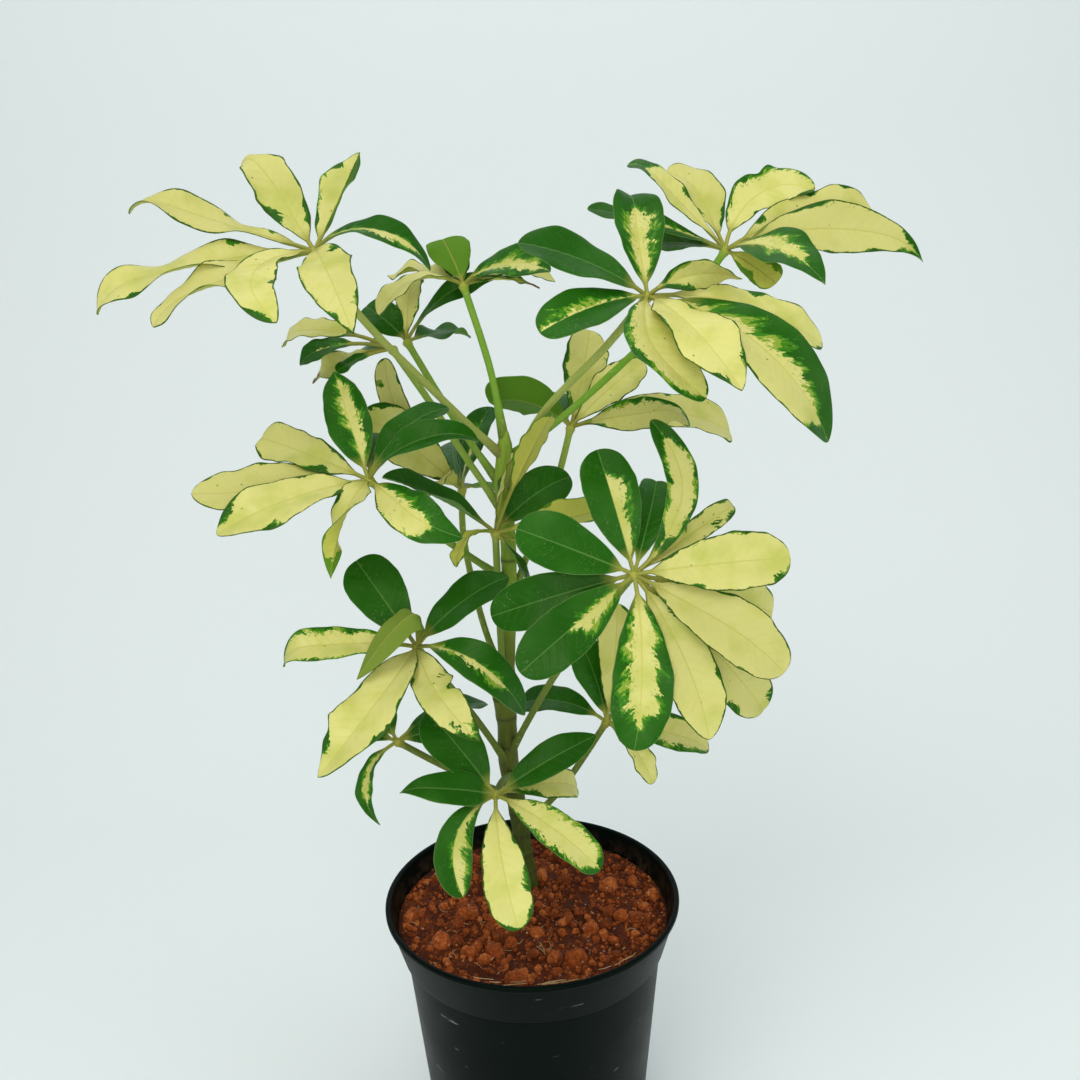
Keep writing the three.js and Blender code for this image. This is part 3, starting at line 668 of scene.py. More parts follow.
def lateriteSoil():
    # Laterite potting soil: rust red clods and grit, dry and matt, each crumb its own shade
    finish, tree = newFinish("lateriteSoil")
    place = addNode(tree, "ShaderNodeTexCoord").outputs["Object"]
    tint = addNode(tree, "ShaderNodeAttribute", attribute_name="tint").outputs["Fac"]
    broad = addNode(tree, "ShaderNodeTexNoise", {
        "Vector": place, "Scale": 70.0, "Detail": 4.0, "Roughness": 0.65})
    mixed = addNode(tree, "ShaderNodeMath", {0: tint, 1: 0.6, 2: broad}, operation="MULTIPLY_ADD")
    tone = addNode(tree, "ShaderNodeMapRange", {"Value": mixed, "From Min": 0.45, "From Max": 1.15})
    base = addNode(tree, "ShaderNodeMix", {
        "Factor": tone, "A": linear(soilSet["darkColour"]), "B": linear(soilSet["colour"])}, data_type="RGBA")
    pale = addNode(tree, "ShaderNodeMapRange", {
        "Value": mixed, "From Min": 0.95, "From Max": 1.25, "To Max": 0.8})
    lit = addNode(tree, "ShaderNodeMix", {
        "Factor": pale, "A": base, "B": linear(soilSet["paleColour"])}, data_type="RGBA")
    # Grit of 0.5 to 1 mm, with a few pale quartz grains
    grit = addNode(tree, "ShaderNodeTexVoronoi", {"Vector": place, "Scale": 1100.0})
    gritRed = addNode(tree, "ShaderNodeSeparateColor", {"Color": grit.outputs["Color"]}).outputs["Red"]
    gritShade = addNode(tree, "ShaderNodeMapRange", {"Value": gritRed, "To Min": 0.62, "To Max": 1.3})
    shaded = addNode(tree, "ShaderNodeMix", {
        "Factor": 1.0, "A": lit, "B": gritShade}, data_type="RGBA", blend_type="MULTIPLY")
    quartz = addNode(tree, "ShaderNodeMath", {0: gritRed, 1: 0.99}, operation="GREATER_THAN")
    speckled = addNode(tree, "ShaderNodeMix", {
        "Factor": quartz, "A": shaded, "B": linear(soilSet["quartzColour"])}, data_type="RGBA")
    rough = addNode(tree, "ShaderNodeTexNoise", {
        "Vector": place, "Scale": 900.0, "Detail": 4.0, "Roughness": 0.7})
    relief = addNode(tree, "ShaderNodeBump", {"Height": rough, "Strength": 0.8, "Distance": 0.0008})
    earth = addNode(tree, "ShaderNodeBsdfPrincipled", {
        "Base Color": speckled, "Roughness": 0.92, "IOR": 1.5, "Specular IOR Level": 0.3, "Normal": relief})
    addNode(tree, "ShaderNodeOutputMaterial", {"Surface": earth})
    return finish


def dryStraw():
    # Dried grass bits in the soil: pale straw with a faint shine
    finish, tree = newFinish("dryStraw")
    place = addNode(tree, "ShaderNodeTexCoord").outputs["Object"]
    patch = addNode(tree, "ShaderNodeTexNoise", {"Vector": place, "Scale": 240.0, "Detail": 2.0})
    toned = addNode(tree, "ShaderNodeMix", {
        "Factor": patch, "A": linear(soilSet["strawColours"][0]), "B": linear(soilSet["strawColours"][1])},
        data_type="RGBA")
    stalk = addNode(tree, "ShaderNodeBsdfPrincipled", {"Base Color": toned, "Roughness": 0.55, "IOR": 1.45})
    addNode(tree, "ShaderNodeOutputMaterial", {"Surface": stalk})
    return finish


def soilBody():
    foot = potSet["footRadius"] - potSet["wall"] - soilSet["gap"]
    side = innerBandRadius - soilSet["gap"]
    bottom = potSet["floor"] + soilSet["gap"]
    rings = [
        (foot * 0.5, bottom),
        (foot, bottom),
        (side, bandFoot - potSet["bandEase"]),
        (side + 1, bandFoot + 0.8),
    ]
    # The crumbly top, from its edge to the middle
    count = soilSet["rings"]
    rings += [(soilRadius * ring / count, soilGround) for ring in range(count, 0, -1)]
    return ringsMesh("soilBody", bottom, rings, soilGround(0, 0), soilSet["segments"])


def pointsMesh(name, places, sizes):
    base = bpy.data.meshes.new(name)
    base.from_pydata((np.array(places) * mm).tolist(), [], [])
    storeMarks(base, {"girth": np.array(sizes, np.float32) * mm})
    return base


def joined(name, meshes):
    # Several meshes as one piece
    parts = [newPiece(name + str(index), made) for index, made in enumerate(meshes)]
    with bpy.context.temp_override(active_object=parts[0], selected_editable_objects=parts):
        bpy.ops.object.join()
    parts[0].name = name
    parts[0].data.name = name
    return parts[0]


def buildSoil():
    laterite = lateriteSoil()
    tree = soilTree()
    body = soilBody()
    body.materials.append(laterite)
    layers = [body]
    places, sizes = [], []
    for index in range(soilSet["clods"]):
        angle = index * goldenAngle
        reach = soilRadius * 0.85 * math.sqrt((index + 0.6) / soilSet["clods"])
        size = 3.4 + 2.6 * abs(math.sin(index * 12.7))
        x, y = math.cos(angle) * reach, math.sin(angle) * reach
        places.append((x, y, soilHeight(x, y) + 0.1 * size))
        sizes.append(size)
    layers.append(runNodes("clods", pointsMesh("clodPoints", places, sizes), tree, {
        "Detail": soilSet["clodDetail"], "Roughness": soilSet["clodRoughness"],
        "Seed": soilSet["clodSeed"], "Material": laterite}))
    random = np.random.default_rng(soilSet["crumbSeed"])
    for name, count, low, high, detail in soilSet["crumbs"]:
        places, sizes = [], []
        for _ in range(count):
            reach = (soilRadius - 0.8 * high) * math.sqrt(random.random())
            angle = 2 * math.pi * random.random()
            size = low + (high - low) * random.random() ** 2
            x, y = math.cos(angle) * reach, math.sin(angle) * reach
            places.append((x, y, soilGround(x, y) + 0.2 * size))
            sizes.append(size)
        layers.append(runNodes(name, pointsMesh(name + "Points", places, sizes), tree, {
            "Detail": detail, "Roughness": soilSet["crumbRoughness"],
            "Seed": soilSet["crumbShapeSeed"], "Material": laterite}))
    soil = joined("lateriteFill", layers)
    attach(soil, "root")
    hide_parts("soil")


def buildStraws():
    # Short dry stems on the soil, and a few caught on the front of the rim
    random = np.random.default_rng(soilSet["strawSeed"])
    routes, girths = [], []
    for index in range(soilSet["straws"]):
        onRim = index % 4 == 0
        if onRim:
            angle = math.radians(-112 + 66 * random.random())
            reach = potSet["rimRadius"] - 4.2 + 2.2 * random.random()
            height = potSet["height"] - 0.1
            heading = angle + math.pi / 2 + random.normal(0, 0.1)
        else:
            # Most of the loose bits lie to the left of the front
            angle = math.radians(random.normal(-115, 45))
            reach = 62 * math.sqrt(random.random())
            height = None
            heading = 2 * math.pi * random.random()
        long = random.uniform(*soilSet["rimStrawLength" if onRim else "strawLength"])
        bend = random.normal(0, 0.15 if onRim else 0.7)
        middle = np.array([math.cos(angle) * reach, math.sin(angle) * reach])
        route = []
        for share in np.linspace(-0.5, 0.5, soilSet["strawPoints"]):
            turned = heading + bend * share
            x, y = middle + long * share * np.array([math.cos(turned), math.sin(turned)])
            z = height + 0.3 if onRim else soilGround(x, y) + 1.3
            route.append((x, y, z + 0.6 * random.random() * abs(share)))
        routes.append(np.array(route))
        girths += [random.uniform(*soilSet["strawRadius"])] * soilSet["strawPoints"]
    base = routeMesh("strawRoutes", routes, {"girth": np.array(girths) * mm})
    straw = newPiece("strawBits", runNodes("strawBits", base, stalkTree, {
        "Sides": 6, "Relief": 0.0, "Material": dryStraw()}))
    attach(straw, "root")


buildSoil()
buildStraws()
print("soil built")

# Leaves. Each leaflet has a heading and rise from its hub, a reach and a width, its cream shares on
# the left and right of the midrib and how far along they run, then how it bends
allCream = (1, 1, 1)
allGreen = (0, 0, 0)
plainLeaflet = {
    "bow": 0.1, "lean": 0, "sway": 0, "turn": 0, "twist": 0, "hook": 0, "veer": 0, "fold": 12, "wave": 1,
    "stalk": 0.12, "blunt": 0.5, "pale": 0, "dry": 0,
    # bites in the margin: side, share along, depth as a share of the half width, length as a share
    "bites": (),
}


def leaflet(heading, rise, reach, width, cream, **bends):
    shape = {"heading": heading, "rise": rise, "reach": reach, "width": width, "cream": cream}
    return {**plainLeaflet, **shape, **bends}


# Each leaf: the height its stalk leaves the stem at, the stalk's route, its hub, the way it faces, its
# stalk's freshness from olive to bright green, and its leaflets
compoundLeaves = {
    "leaf_top_left": {
        "from": 365, "via": [(-37, -7, 401), (-64, -27, 436)], "hub": (-77, -40, 461),
        "face": (245, 58), "fresh": 0.15,
        "leaflets": [
            leaflet(180, 13, 74, 15, allCream, bow=0.05, hook=0.2, wave=3.2, blunt=0.7),
            leaflet(190, -14, 88, 22, allCream, bow=0.11, hook=0.12, wave=3.8, blunt=0.7),
            leaflet(213, -21, 71, 21, allCream, bow=0.08, hook=0.1, wave=3.6, blunt=0.7),
            leaflet(261, -28, 52, 19, allCream, bow=0.22, sway=0.34, hook=0.1, wave=2, stalk=0.06, blunt=0.6),
            leaflet(
                295, -32, 56, 21, (1, 0.8, 1), bow=0.26, sway=-0.02, wave=2, blunt=0.95,
                bites=((-1, 0.42, -0.13, 0.05), (-1, 0.58, 0.1, 0.07))),
            leaflet(346, -10, 49, 14, (0.1, 0.5, 0.8), bow=0.39, hook=0.1, blunt=0.7),
            leaflet(63, 48, 53, 18, (0.8, 0.1, 0.9), bow=0, fold=35, wave=1.5, blunt=0.8),
            leaflet(
                137, 48, 51, 18, (0.85, 1, 0.95), bow=-0.02, hook=0.3, veer=-0.14, wave=2.2, blunt=0.75,
                bites=((-1, 0.52, -0.12, 0.04), (1, 0.66, -0.12, 0.03), (1, 0.86, 0.42, 0.13))),
        ],
    },
    "leaf_top_mid": {
        "from": 372, "via": [(-11, 14, 406)], "hub": (-22, 20, 444),
        "face": (230, 75), "fresh": 0.8,
        "leaflets": [
            leaflet(130, 55, 25, 21, allGreen, blunt=0.35, pale=1),
            leaflet(209, -15, 43, 20, allCream, bow=0.3),
            leaflet(333, 7, 45, 20, (0.25, 0.5, 0.85), bow=0.2, turn=25, blunt=0.7),
            leaflet(11, 0, 43, 18, allCream, bow=0.22, turn=15, blunt=0.7),
            leaflet(0, -4, 35, 6, allCream, bow=0.15, dry=0.25),
            leaflet(146, 6, 42, 20, allCream, bow=0.15, wave=2.5),
            leaflet(104, 34, 18, 12, allGreen, bow=0.2),
        ],
    },
    "leaf_top_young": {
        "from": 350, "via": [(-31, 26, 384)], "hub": (-51, 35, 418),
        "face": (240, 60), "fresh": 0.7,
        "leaflets": [
            leaflet(164, 40, 26, 20, allGreen),
            leaflet(80, 58, 36, 15, (1, 0.8, 0.95)),
            leaflet(6, 32, 56, 11, allGreen, bow=0.2, turn=-40, twist=150, blunt=0.8),
            leaflet(42, 0, 38, 20, allGreen, wave=3.2, blunt=0.7),
            leaflet(100, 21, 44, 18, allGreen),
        ],
    },
    "leaf_left_small": {
        "from": 336, "via": [(-29, 11, 374), (-38, 11, 390)], "hub": (-55, 10, 417),
        "face": (255, 60), "fresh": 0.5,
        "leaflets": [
            leaflet(190, -7, 42, 17, (0.2, 0.25, 0.6), bow=0.2, hook=0.06, stalk=0.4, blunt=0.7),
            leaflet(173, -21, 41, 16, allCream, bow=0.15, wave=3, stalk=0.25, blunt=0.6, dry=0.2),
            leaflet(164, 2, 54, 18, allCream, bow=0.2, hook=0.12, stalk=0.3),
            leaflet(207, -17, 28, 10, allGreen, stalk=0.4),
            leaflet(132, -12, 36, 18, allGreen),
        ],
    },
    "leaf_mid_left": {
        "from": 303, "via": [(-40, -14, 338)], "hub": (-62, -40, 367),
        "face": (250, 50), "fresh": 0.6,
        "leaflets": [
            leaflet(188, -1, 73, 27, allCream, bow=-0.03, wave=1.5, blunt=0.65),
            leaflet(204, -13, 66, 26, allCream, wave=1.5, blunt=0.65),
            leaflet(158, 17, 55, 20, (1, 0.9, 0.94), bow=0.05, wave=2, blunt=0.35),
            leaflet(123, 57, 52, 20, (0.2, 0.5, 0.8), bow=0.05, wave=1.5, blunt=0.9),
            leaflet(22, 37, 46, 17, allGreen, bow=0.25, blunt=0.65),
            leaflet(354, 19, 50, 16, allGreen, bow=0.3, hook=0.1, fold=25, blunt=0.65),
            leaflet(321, -30, 50, 20, (0.35, 0.8, 0.66), bow=0.15, hook=0.12, veer=-0.18, wave=2, blunt=0.85),
            leaflet(250, -41, 49, 19, allCream, bow=0.2, turn=-30, twist=150, stalk=0.05, blunt=1.1),
            leaflet(82, 15, 46, 22, allGreen, bow=0.2),
        ],
    },
    "leaf_mid_back": {
        "from": 252, "via": [(-19, 22, 275), (-23, 27, 290), (-29, 38, 321)], "hub": (-29, 45, 343),
        "face": (230, 45), "fresh": 0.4,
        "leaflets": [
            leaflet(172, 62, 75, 15, allCream, sway=-0.14, wave=2.5),
            leaflet(192, 42, 63, 26, allCream),
            leaflet(54, 56, 46, 20, (0.2, 0.2, 0.7)),
            leaflet(252, 8, 42, 20, allCream, bow=0.2),
            leaflet(60, -14, 38, 20, allGreen),
            leaflet(97, 16, 56, 22, allGreen),
            leaflet(316, 64, 34, 16, (0.1, 0.5, 0.8)),
        ],
    },
    "leaf_centre": {
        "from": 238, "via": [(-11, 5, 276), (-11, -1, 308)], "hub": (-11, -5, 333),
        "face": (60, 80), "fresh": 0.5,
        "leaflets": [
            leaflet(222, 31, 70, 17, allGreen, bow=0.06, turn=-35, fold=30, blunt=0.7),
            leaflet(221, -26, 26, 9, allCream, bow=0.4, pale=1),
            leaflet(335, 73, 40, 12, allCream, turn=60),
            leaflet(331, 61, 65, 16, allCream, bow=0.05, stalk=0.35),
            leaflet(0, 11, 59, 24, allCream, bow=0, turn=-40),
            leaflet(25, 29, 45, 22, allGreen, turn=50),
            leaflet(20, -39, 45, 16, allCream),
            leaflet(335, -60, 36, 16, allGreen),
        ],
    },
    "leaf_right_back": {
        "from": 289, "via": [(4, 19, 317), (16, 24, 342)], "hub": (26, 30, 375),
        "face": (300, 55), "fresh": 0.4,
        "leaflets": [
            leaflet(61, 63, 50, 22, (1, 0.8, 1)),
            leaflet(8, 39, 47, 20, allCream),
            leaflet(10, -5, 81, 29, allCream, bow=0.2, wave=1.5, blunt=0.34),
            leaflet(342, 2, 57, 17, (0.6, 0.9, 1), bow=0.12, twist=120, hook=0.25),
            leaflet(178, 19, 41, 33, allGreen, bow=0.25, turn=70),
            leaflet(71, 17, 54, 24, allGreen, bow=0.15),
            leaflet(113, 12, 48, 22, allGreen, bow=0.15),
        ],
    },
    "leaf_top_front": {
        "from": 348, "via": [(10, -7, 385), (40, -34, 420)], "hub": (55, -50, 440),
        "face": (285, 50), "fresh": 0.15,
        "leaflets": [
            leaflet(192, 23, 56, 24, allGreen, blunt=0.6),
            leaflet(212, -12, 52, 21, (0, 0.25, 0.9), bow=0.12, blunt=0.45),
            leaflet(97, 52, 50, 23, (0.4, 0.45, 0.7), bow=0, hook=0.12, fold=25),
            leaflet(355, 9, 37, 14, (0.8, 1, 1), bow=0.24, twist=130),
            leaflet(4, -17, 75, 20, allCream, bow=0.16),
            leaflet(340, -38, 91, 34, (0.34, 1, 0.8), bow=0.24, blunt=0.7),
            leaflet(302, -30, 64, 27, (0.9, 1, 1), bow=0.16, sway=0.05, wave=2, blunt=0.75),
            leaflet(272, -38, 54, 22, (1, 0.6, 0.9), bow=0.15, sway=0.12, hook=0.05, veer=-0.3, blunt=0.42),
        ],
    },
    "leaf_top_right": {
        "from": 364, "via": [(14, 13, 377), (56, 15, 412), (88, 15, 444)], "hub": (97, 15, 456),
        "face": (290, 60), "fresh": 0.9,
        "leaflets": [
            leaflet(
                118, 50, 46, 24, allCream, bow=0.02, hook=0.1, veer=-0.25, wave=2.6, stalk=0.2,
                blunt=0.45),
            leaflet(
                32, 35, 52, 23, (0.7, 1, 0.95), bow=0.05, sway=-0.2, hook=0.1, veer=0.2, wave=2.5, stalk=0.18,
                bites=((-1, 0.6, 0.3, 0.05), (-1, 0.7, -0.15, 0.03))),
            leaflet(17, 10, 78, 25, allCream, bow=0.15, turn=20, wave=2.2),
            leaflet(
                2, -5, 91, 23, (0.85, 1, 0.8), bow=0.19, turn=22, twist=45, hook=0.06, wave=2.2,
                blunt=1.3),
            leaflet(310, -15, 56, 27, (0.45, 0.25, 0.7), bow=0.2, turn=12, wave=1.6, blunt=1.1),
            leaflet(173, 4, 37, 20, allGreen, stalk=0.2),
            leaflet(189, 17, 66, 15, (0.2, 0.3, 0.6), bow=0.05),
            leaflet(169, 41, 58, 17, (0.9, 0.9, 0.7), bow=0.05, hook=0.15),
            leaflet(330, -32, 28, 15, allCream, bow=0.05, turn=35, wave=0.4, blunt=0.35, pale=1),
        ],
    },
    "leaf_front_right": {
        "from": 209, "via": [(16, -16, 268)], "hub": (48, -60, 328),
        "face": (275, 28), "fresh": 0.35,
        "leaflets": [
            leaflet(132, 68, 54, 24, (0, 0.45, 0.7), bow=0.05),
            leaflet(186, 25, 53, 24, allGreen, bow=0.05, blunt=0.45),
            leaflet(175, -17, 63, 22, allGreen),
            leaflet(212, -28, 64, 23, (0.45, 0.2, 0.5), bow=0.08),
            leaflet(264, -69, 72, 26, (0.52, 0.47, 0.74), bow=0.08, sway=-0.05, blunt=0.55),
            leaflet(325, -62, 75, 24, (0.95, 1, 0.95), bow=0.06, sway=-0.07, blunt=0.7),
            leaflet(346, -29, 73, 26, allCream, bow=0.08, veer=0.06),
            leaflet(355, 6, 64, 25, (0.95, 0.95, 1)),
            leaflet(44, 62, 64, 14, (0.6, 0.65, 0.8), bow=0.02, sway=0.2, veer=-0.2),
            leaflet(68, 43, 47, 18, allGreen, bow=0.15, fold=30),
            leaflet(29, 23, 56, 12, (0.9, 0.9, 0.9), bow=0.05, hook=0.08, fold=30),
            leaflet(8, -49, 88, 26, allCream, bow=0.12),
            leaflet(22, -22, 74, 24, allCream, bow=0.12),
        ],
    },
    "leaf_low_right": {
        "from": 165, "via": [(16, 16, 189)], "hub": (40, 10, 229),
        "face": (300, 60), "fresh": 0.25,
        "leaflets": [
            leaflet(165, 7, 46, 20, allGreen, bow=0.25),
            leaflet(129, 63, 44, 24, allGreen),
            leaflet(72, 65, 60, 20, allCream),
            leaflet(354, -16, 53, 23, (0.9, 0.6, 0.9), hook=0.08, blunt=0.7),
            leaflet(314, -38, 38, 13, (0.9, 1, 1), bow=0.2),
            leaflet(33, 20, 56, 22, allGreen),
            leaflet(67, -5, 52, 22, allGreen, bow=0.2),
        ],
    },
    "leaf_front_left": {
        "from": 204, "via": [(-25, -10, 244)], "hub": (-45, -50, 295),
        "face": (250, 55), "fresh": 0.3,
        "leaflets": [
            leaflet(139, 42, 49, 25, allGreen, bow=0.05),
            leaflet(18, 32, 50, 21, allGreen, bow=0.15, blunt=0.7),
            leaflet(185, -5, 57, 18, (0.8, 0.6, 0.85), bow=0.18, hook=0.25, blunt=0.7),
            leaflet(215, -14, 30, 17, allGreen, bow=0.85, lean=-0.6, stalk=0.03, blunt=0.75, pale=2),
            leaflet(
                224, -37, 68, 27, (0.9, 1, 1), bow=0.12, sway=-0.1, wave=1.8, stalk=0.03, blunt=0.85,
                bites=((1, 0.66, -0.15, 0.03), (1, 0.74, 0.12, 0.05))),
            leaflet(
                308, -32, 53, 18, allCream, bow=0.12, sway=0.1, wave=2.4, stalk=0.03, blunt=0.9,
                bites=((-1, 0.4, -0.16, 0.035), (-1, 0.5, 0.38, 0.045), (-1, 0.93, -0.3, 0.05))),
            leaflet(342, -29, 55, 18, (0.1, 0.35, 0.7), bow=0.55, blunt=0.8),
        ],
    },
    "leaf_low_left": {
        "from": 183, "via": [(-42, 5, 210)], "hub": (-63, -5, 229),
        "face": (210, 55), "fresh": 0.3,
        "leaflets": [
            leaflet(249, -56, 40, 10, (0.5, 0.3, 0.7), bow=0.28, sway=0.25, blunt=1),
            leaflet(8, 6, 36, 17, allGreen, turn=40),
            leaflet(30, 9, 50, 18, allGreen, bow=0.15),
            leaflet(180, 9, 32, 18, allGreen, bow=0.15),
            leaflet(113, 31, 34, 20, allGreen, bow=0.15),
        ],
    },
    "leaf_low_front": {
        "from": 198, "via": [(-12, -20, 214)], "hub": (-14, -50, 223),
        "face": (275, 50), "fresh": 0.35,
        "leaflets": [
            leaflet(153, 46, 48, 25, allGreen, bow=0.08),
            leaflet(12, 26, 53, 17, allGreen, blunt=0.85),
            leaflet(191, 9, 43, 17, allGreen, bow=0.17, hook=0.15, stalk=0.05, blunt=1.3),
            leaflet(245, -43, 46, 17, (0.5, 0.1, 0.9), bow=0.15, sway=0.3),
            leaflet(285, -51, 58, 21, (1, 0.85, 1), bow=0.15, sway=0.06),
            leaflet(330, -24, 57, 18, (0.7, 0.65, 0.85), bow=0.22),
            leaflet(28, -11, 43, 17, (0.9, 0.8, 0.9), bow=0.25),
        ],
    },
}

bladeSet = {
    "thickness": 0.42,
    "stalkRadius": 0.85,
    "baseTaper": 0.85,
    "waveRate": 12,
    "nicks": [
        # waves along the margin, turn by seed, weight
        (13, 9, 0.5),
        (29, 23, 0.35),
        (53, 31, 0.2),
    ],
    "ruffle": 0.5,
    "ruffleRate": 27,
    "rippleDepth": 0.3,
    "rippleRate": 0.17,
    "cupping": 0.04,
    "veinSpacing": 4.6,
    "veinSlope": 0.8,
    "quilting": 0.1,
    "ribDepth": 0.75,
    "ribWidth": 0.8,
    "grooveDepth": 0.16,
    "grooveWidth": 0.55,
    "marginRoll": 0.35,
    "stations": 56,
    "stalkStations": 7,
    "creamColour": "#dcd97c",
    "paleCream": "#e3e094",
    "deepCream": "#cfcb68",
    "marginGreen": "#38591e",
    "darkGreen": "#175604",
    "richGreen": "#27680f",
    # painted sheen: a paler green that stands in for the sky's reflection on the waxy cuticle
    "paintedSheenGreen": "#44802f",
    "midGreen": "#3d8418",
    "jadeGreen": "#8fae3c",
    "limeCream": "#bfc757",
    "freckle": "#755526",
    "fleckGreen": "#6f9430",
    "ribGreen": "#86b062",
    "waterMark": "#a6bf8e",
    "paleEdge": "#a8c48a",
    "creamUnder": "#cacb5c",
    "greenUnder": "#5f9022",
    "freshUnder": "#7f983a",
    "lineUnder": "#a5a650",
    "stalkEnd": "#a2a348",
    "brown": "#7d5228",
    "shineTint": "#e9f2cc",
}
stalkSet = {
    "radius": 1.65,
    "hubRadius": 2.45,
    "sides": 14,
    "spacing": 1.0,
    "relief": 0.22,
    "reliefScale": 300.0,
    "olive": "#a3a85c",
    "bright": "#6f9f34",
    # painted shade: the darker colour the stalks take low down, under the foliage
    "aged": "#4a5c22",
    "foot": "#5a5230",
    "hub": "#b2aa4c",
    "fleck": "#b9bd7c",
    "shineTint": "#e9f2cc",
}


def variegatedBlade():
    # Variegated leaf blade: waxy cuticle over cream and green tissue, cut along the side veins.
    # leafPlace holds mm across, mm along and mm from the margin; leafShare holds -1 to 1 across,
    # 0 to 1 along, and 1 on the underside
    finish, tree = newFinish("variegatedBlade")
    place = addNode(tree, "ShaderNodeAttribute", attribute_name="leafPlace").outputs["Vector"]
    share = addNode(tree, "ShaderNodeAttribute", attribute_name="leafShare").outputs["Vector"]
    cream = addNode(tree, "ShaderNodeAttribute", attribute_name="leafCream")
    seed = addNode(tree, "ShaderNodeAttribute", attribute_name="leafSeed").outputs["Fac"]
    across, along, fromMargin = addNode(tree, "ShaderNodeSeparateXYZ", {"Vector": place}).outputs
    side, length, under = addNode(tree, "ShaderNodeSeparateXYZ", {"Vector": share}).outputs
    left, right, reachEnd = addNode(tree, "ShaderNodeSeparateXYZ", {
        "Vector": cream.outputs["Vector"]}).outputs
    spread = addNode(tree, "ShaderNodeMath", {0: side}, operation="ABSOLUTE")
    width = addNode(tree, "ShaderNodeMath", {0: across}, operation="ABSOLUTE")

    # Coordinates along and across the side veins, with a slow drift so that no line is straight
    drift = addNode(tree, "ShaderNodeTexNoise", {"Vector": place, "Scale": 0.11, "Detail": 1.0})
    bent = addNode(tree, "ShaderNodeMath", {0: drift, 1: 3.0, 2: along}, operation="MULTIPLY_ADD")
    acrossVeins = addNode(tree, "ShaderNodeMath", {
        0: width, 1: -bladeSet["veinSlope"], 2: bent}, operation="MULTIPLY_ADD")
    alongVeins = addNode(tree, "ShaderNodeMath", {0: along, 1: 0.35, 2: across}, operation="MULTIPLY_ADD")
    shortened = addNode(tree, "ShaderNodeMath", {0: alongVeins, 1: 0.72}, operation="MULTIPLY")
    apart = addNode(tree, "ShaderNodeMath", {0: seed, 1: 37.0}, operation="MULTIPLY")
    tissue = addNode(tree, "ShaderNodeCombineXYZ", {"X": acrossVeins, "Y": shortened, "Z": apart})
    flat = addNode(tree, "ShaderNodeCombineXYZ", {"X": across, "Y": along, "Z": apart})

    # How far the cream reaches out from the midrib on this side, and how it ends towards the tip
    onRight = addNode(tree, "ShaderNodeMath", {0: side, 1: 0.0}, operation="GREATER_THAN")
    amount = addNode(tree, "ShaderNodeMix", {"Factor": onRight, "A": left, "B": right}, data_type="FLOAT")
    endStart = addNode(tree, "ShaderNodeMath", {0: reachEnd, 1: 1.2, 2: -0.2}, operation="MULTIPLY_ADD")
    beyond = addNode(tree, "ShaderNodeMath", {0: length, 1: endStart}, operation="SUBTRACT")
    fade = addNode(tree, "ShaderNodeMapRange", {
        "Value": beyond, "From Min": 0.0, "From Max": 0.2, "To Min": 1.0, "To Max": 0.1},
        interpolation_type="SMOOTHSTEP")
    reaching = addNode(tree, "ShaderNodeMath", {0: amount, 1: fade}, operation="MULTIPLY")
    keepsGreen = addNode(tree, "ShaderNodeMapRange", {
        "Value": reaching, "From Min": 0.0, "From Max": 0.1, "To Min": -0.75, "To Max": -0.3})
    border = addNode(tree, "ShaderNodeMath", {0: reaching, 1: 1.6, 2: keepsGreen}, operation="MULTIPLY_ADD")
    inside = addNode(tree, "ShaderNodeMath", {0: border, 1: spread}, operation="SUBTRACT")
    blotch = addNode(tree, "ShaderNodeTexNoise", {
        "Vector": tissue, "Scale": 0.17, "Detail": 4.0, "Roughness": 0.62})
    cell = addNode(tree, "ShaderNodeTexVoronoi", {"Vector": tissue, "Scale": 0.8, "Randomness": 1.0})
    cellTone = addNode(tree, "ShaderNodeSeparateColor", {"Color": cell.outputs["Color"]})
    ragged = addNode(tree, "ShaderNodeMath", {0: blotch, 1: 0.95, 2: inside}, operation="MULTIPLY_ADD")
    stepped = addNode(tree, "ShaderNodeMath", {
        0: cellTone.outputs["Red"], 1: 0.2, 2: ragged}, operation="MULTIPLY_ADD")
    cover = addNode(tree, "ShaderNodeMath", {0: stepped, 1: -0.575}, operation="ADD")

    # A thin green line runs round the margin of the cream, with a few wide blotches
    lineNoise = addNode(tree, "ShaderNodeTexNoise", {"Vector": flat, "Scale": 0.32, "Detail": 2.0})
    broadNoise = addNode(tree, "ShaderNodeTexNoise", {"Vector": flat, "Scale": 0.075, "Detail": 1.0})
    blotchWidth = addNode(tree, "ShaderNodeMapRange", {
        "Value": broadNoise, "From Min": 0.56, "From Max": 0.74, "To Min": 0.0, "To Max": 5.0})
    lineWidth = addNode(tree, "ShaderNodeMapRange", {
        "Value": lineNoise, "From Min": 0.3, "From Max": 0.75, "To Min": 0.3, "To Max": 1.0})
    jag = addNode(tree, "ShaderNodeMath", {
        0: cellTone.outputs["Green"], 1: 0.5, 2: 0.45}, operation="MULTIPLY_ADD")
    blotched = addNode(tree, "ShaderNodeMath", {
        0: blotchWidth, 1: jag, 2: lineWidth}, operation="MULTIPLY_ADD")
    inLine = addNode(tree, "ShaderNodeMath", {0: blotched, 1: fromMargin}, operation="SUBTRACT")
    line = addNode(tree, "ShaderNodeMapRange", {"Value": inLine, "From Min": -0.06, "From Max": 0.06})
    creamShare = addNode(tree, "ShaderNodeMapRange", {"Value": cover, "From Min": -0.012, "From Max": 0.012})
    notLine = addNode(tree, "ShaderNodeMath", {0: 1.0, 1: line}, operation="SUBTRACT")
    creamPart = addNode(tree, "ShaderNodeMath", {0: creamShare, 1: notLine}, operation="MULTIPLY")
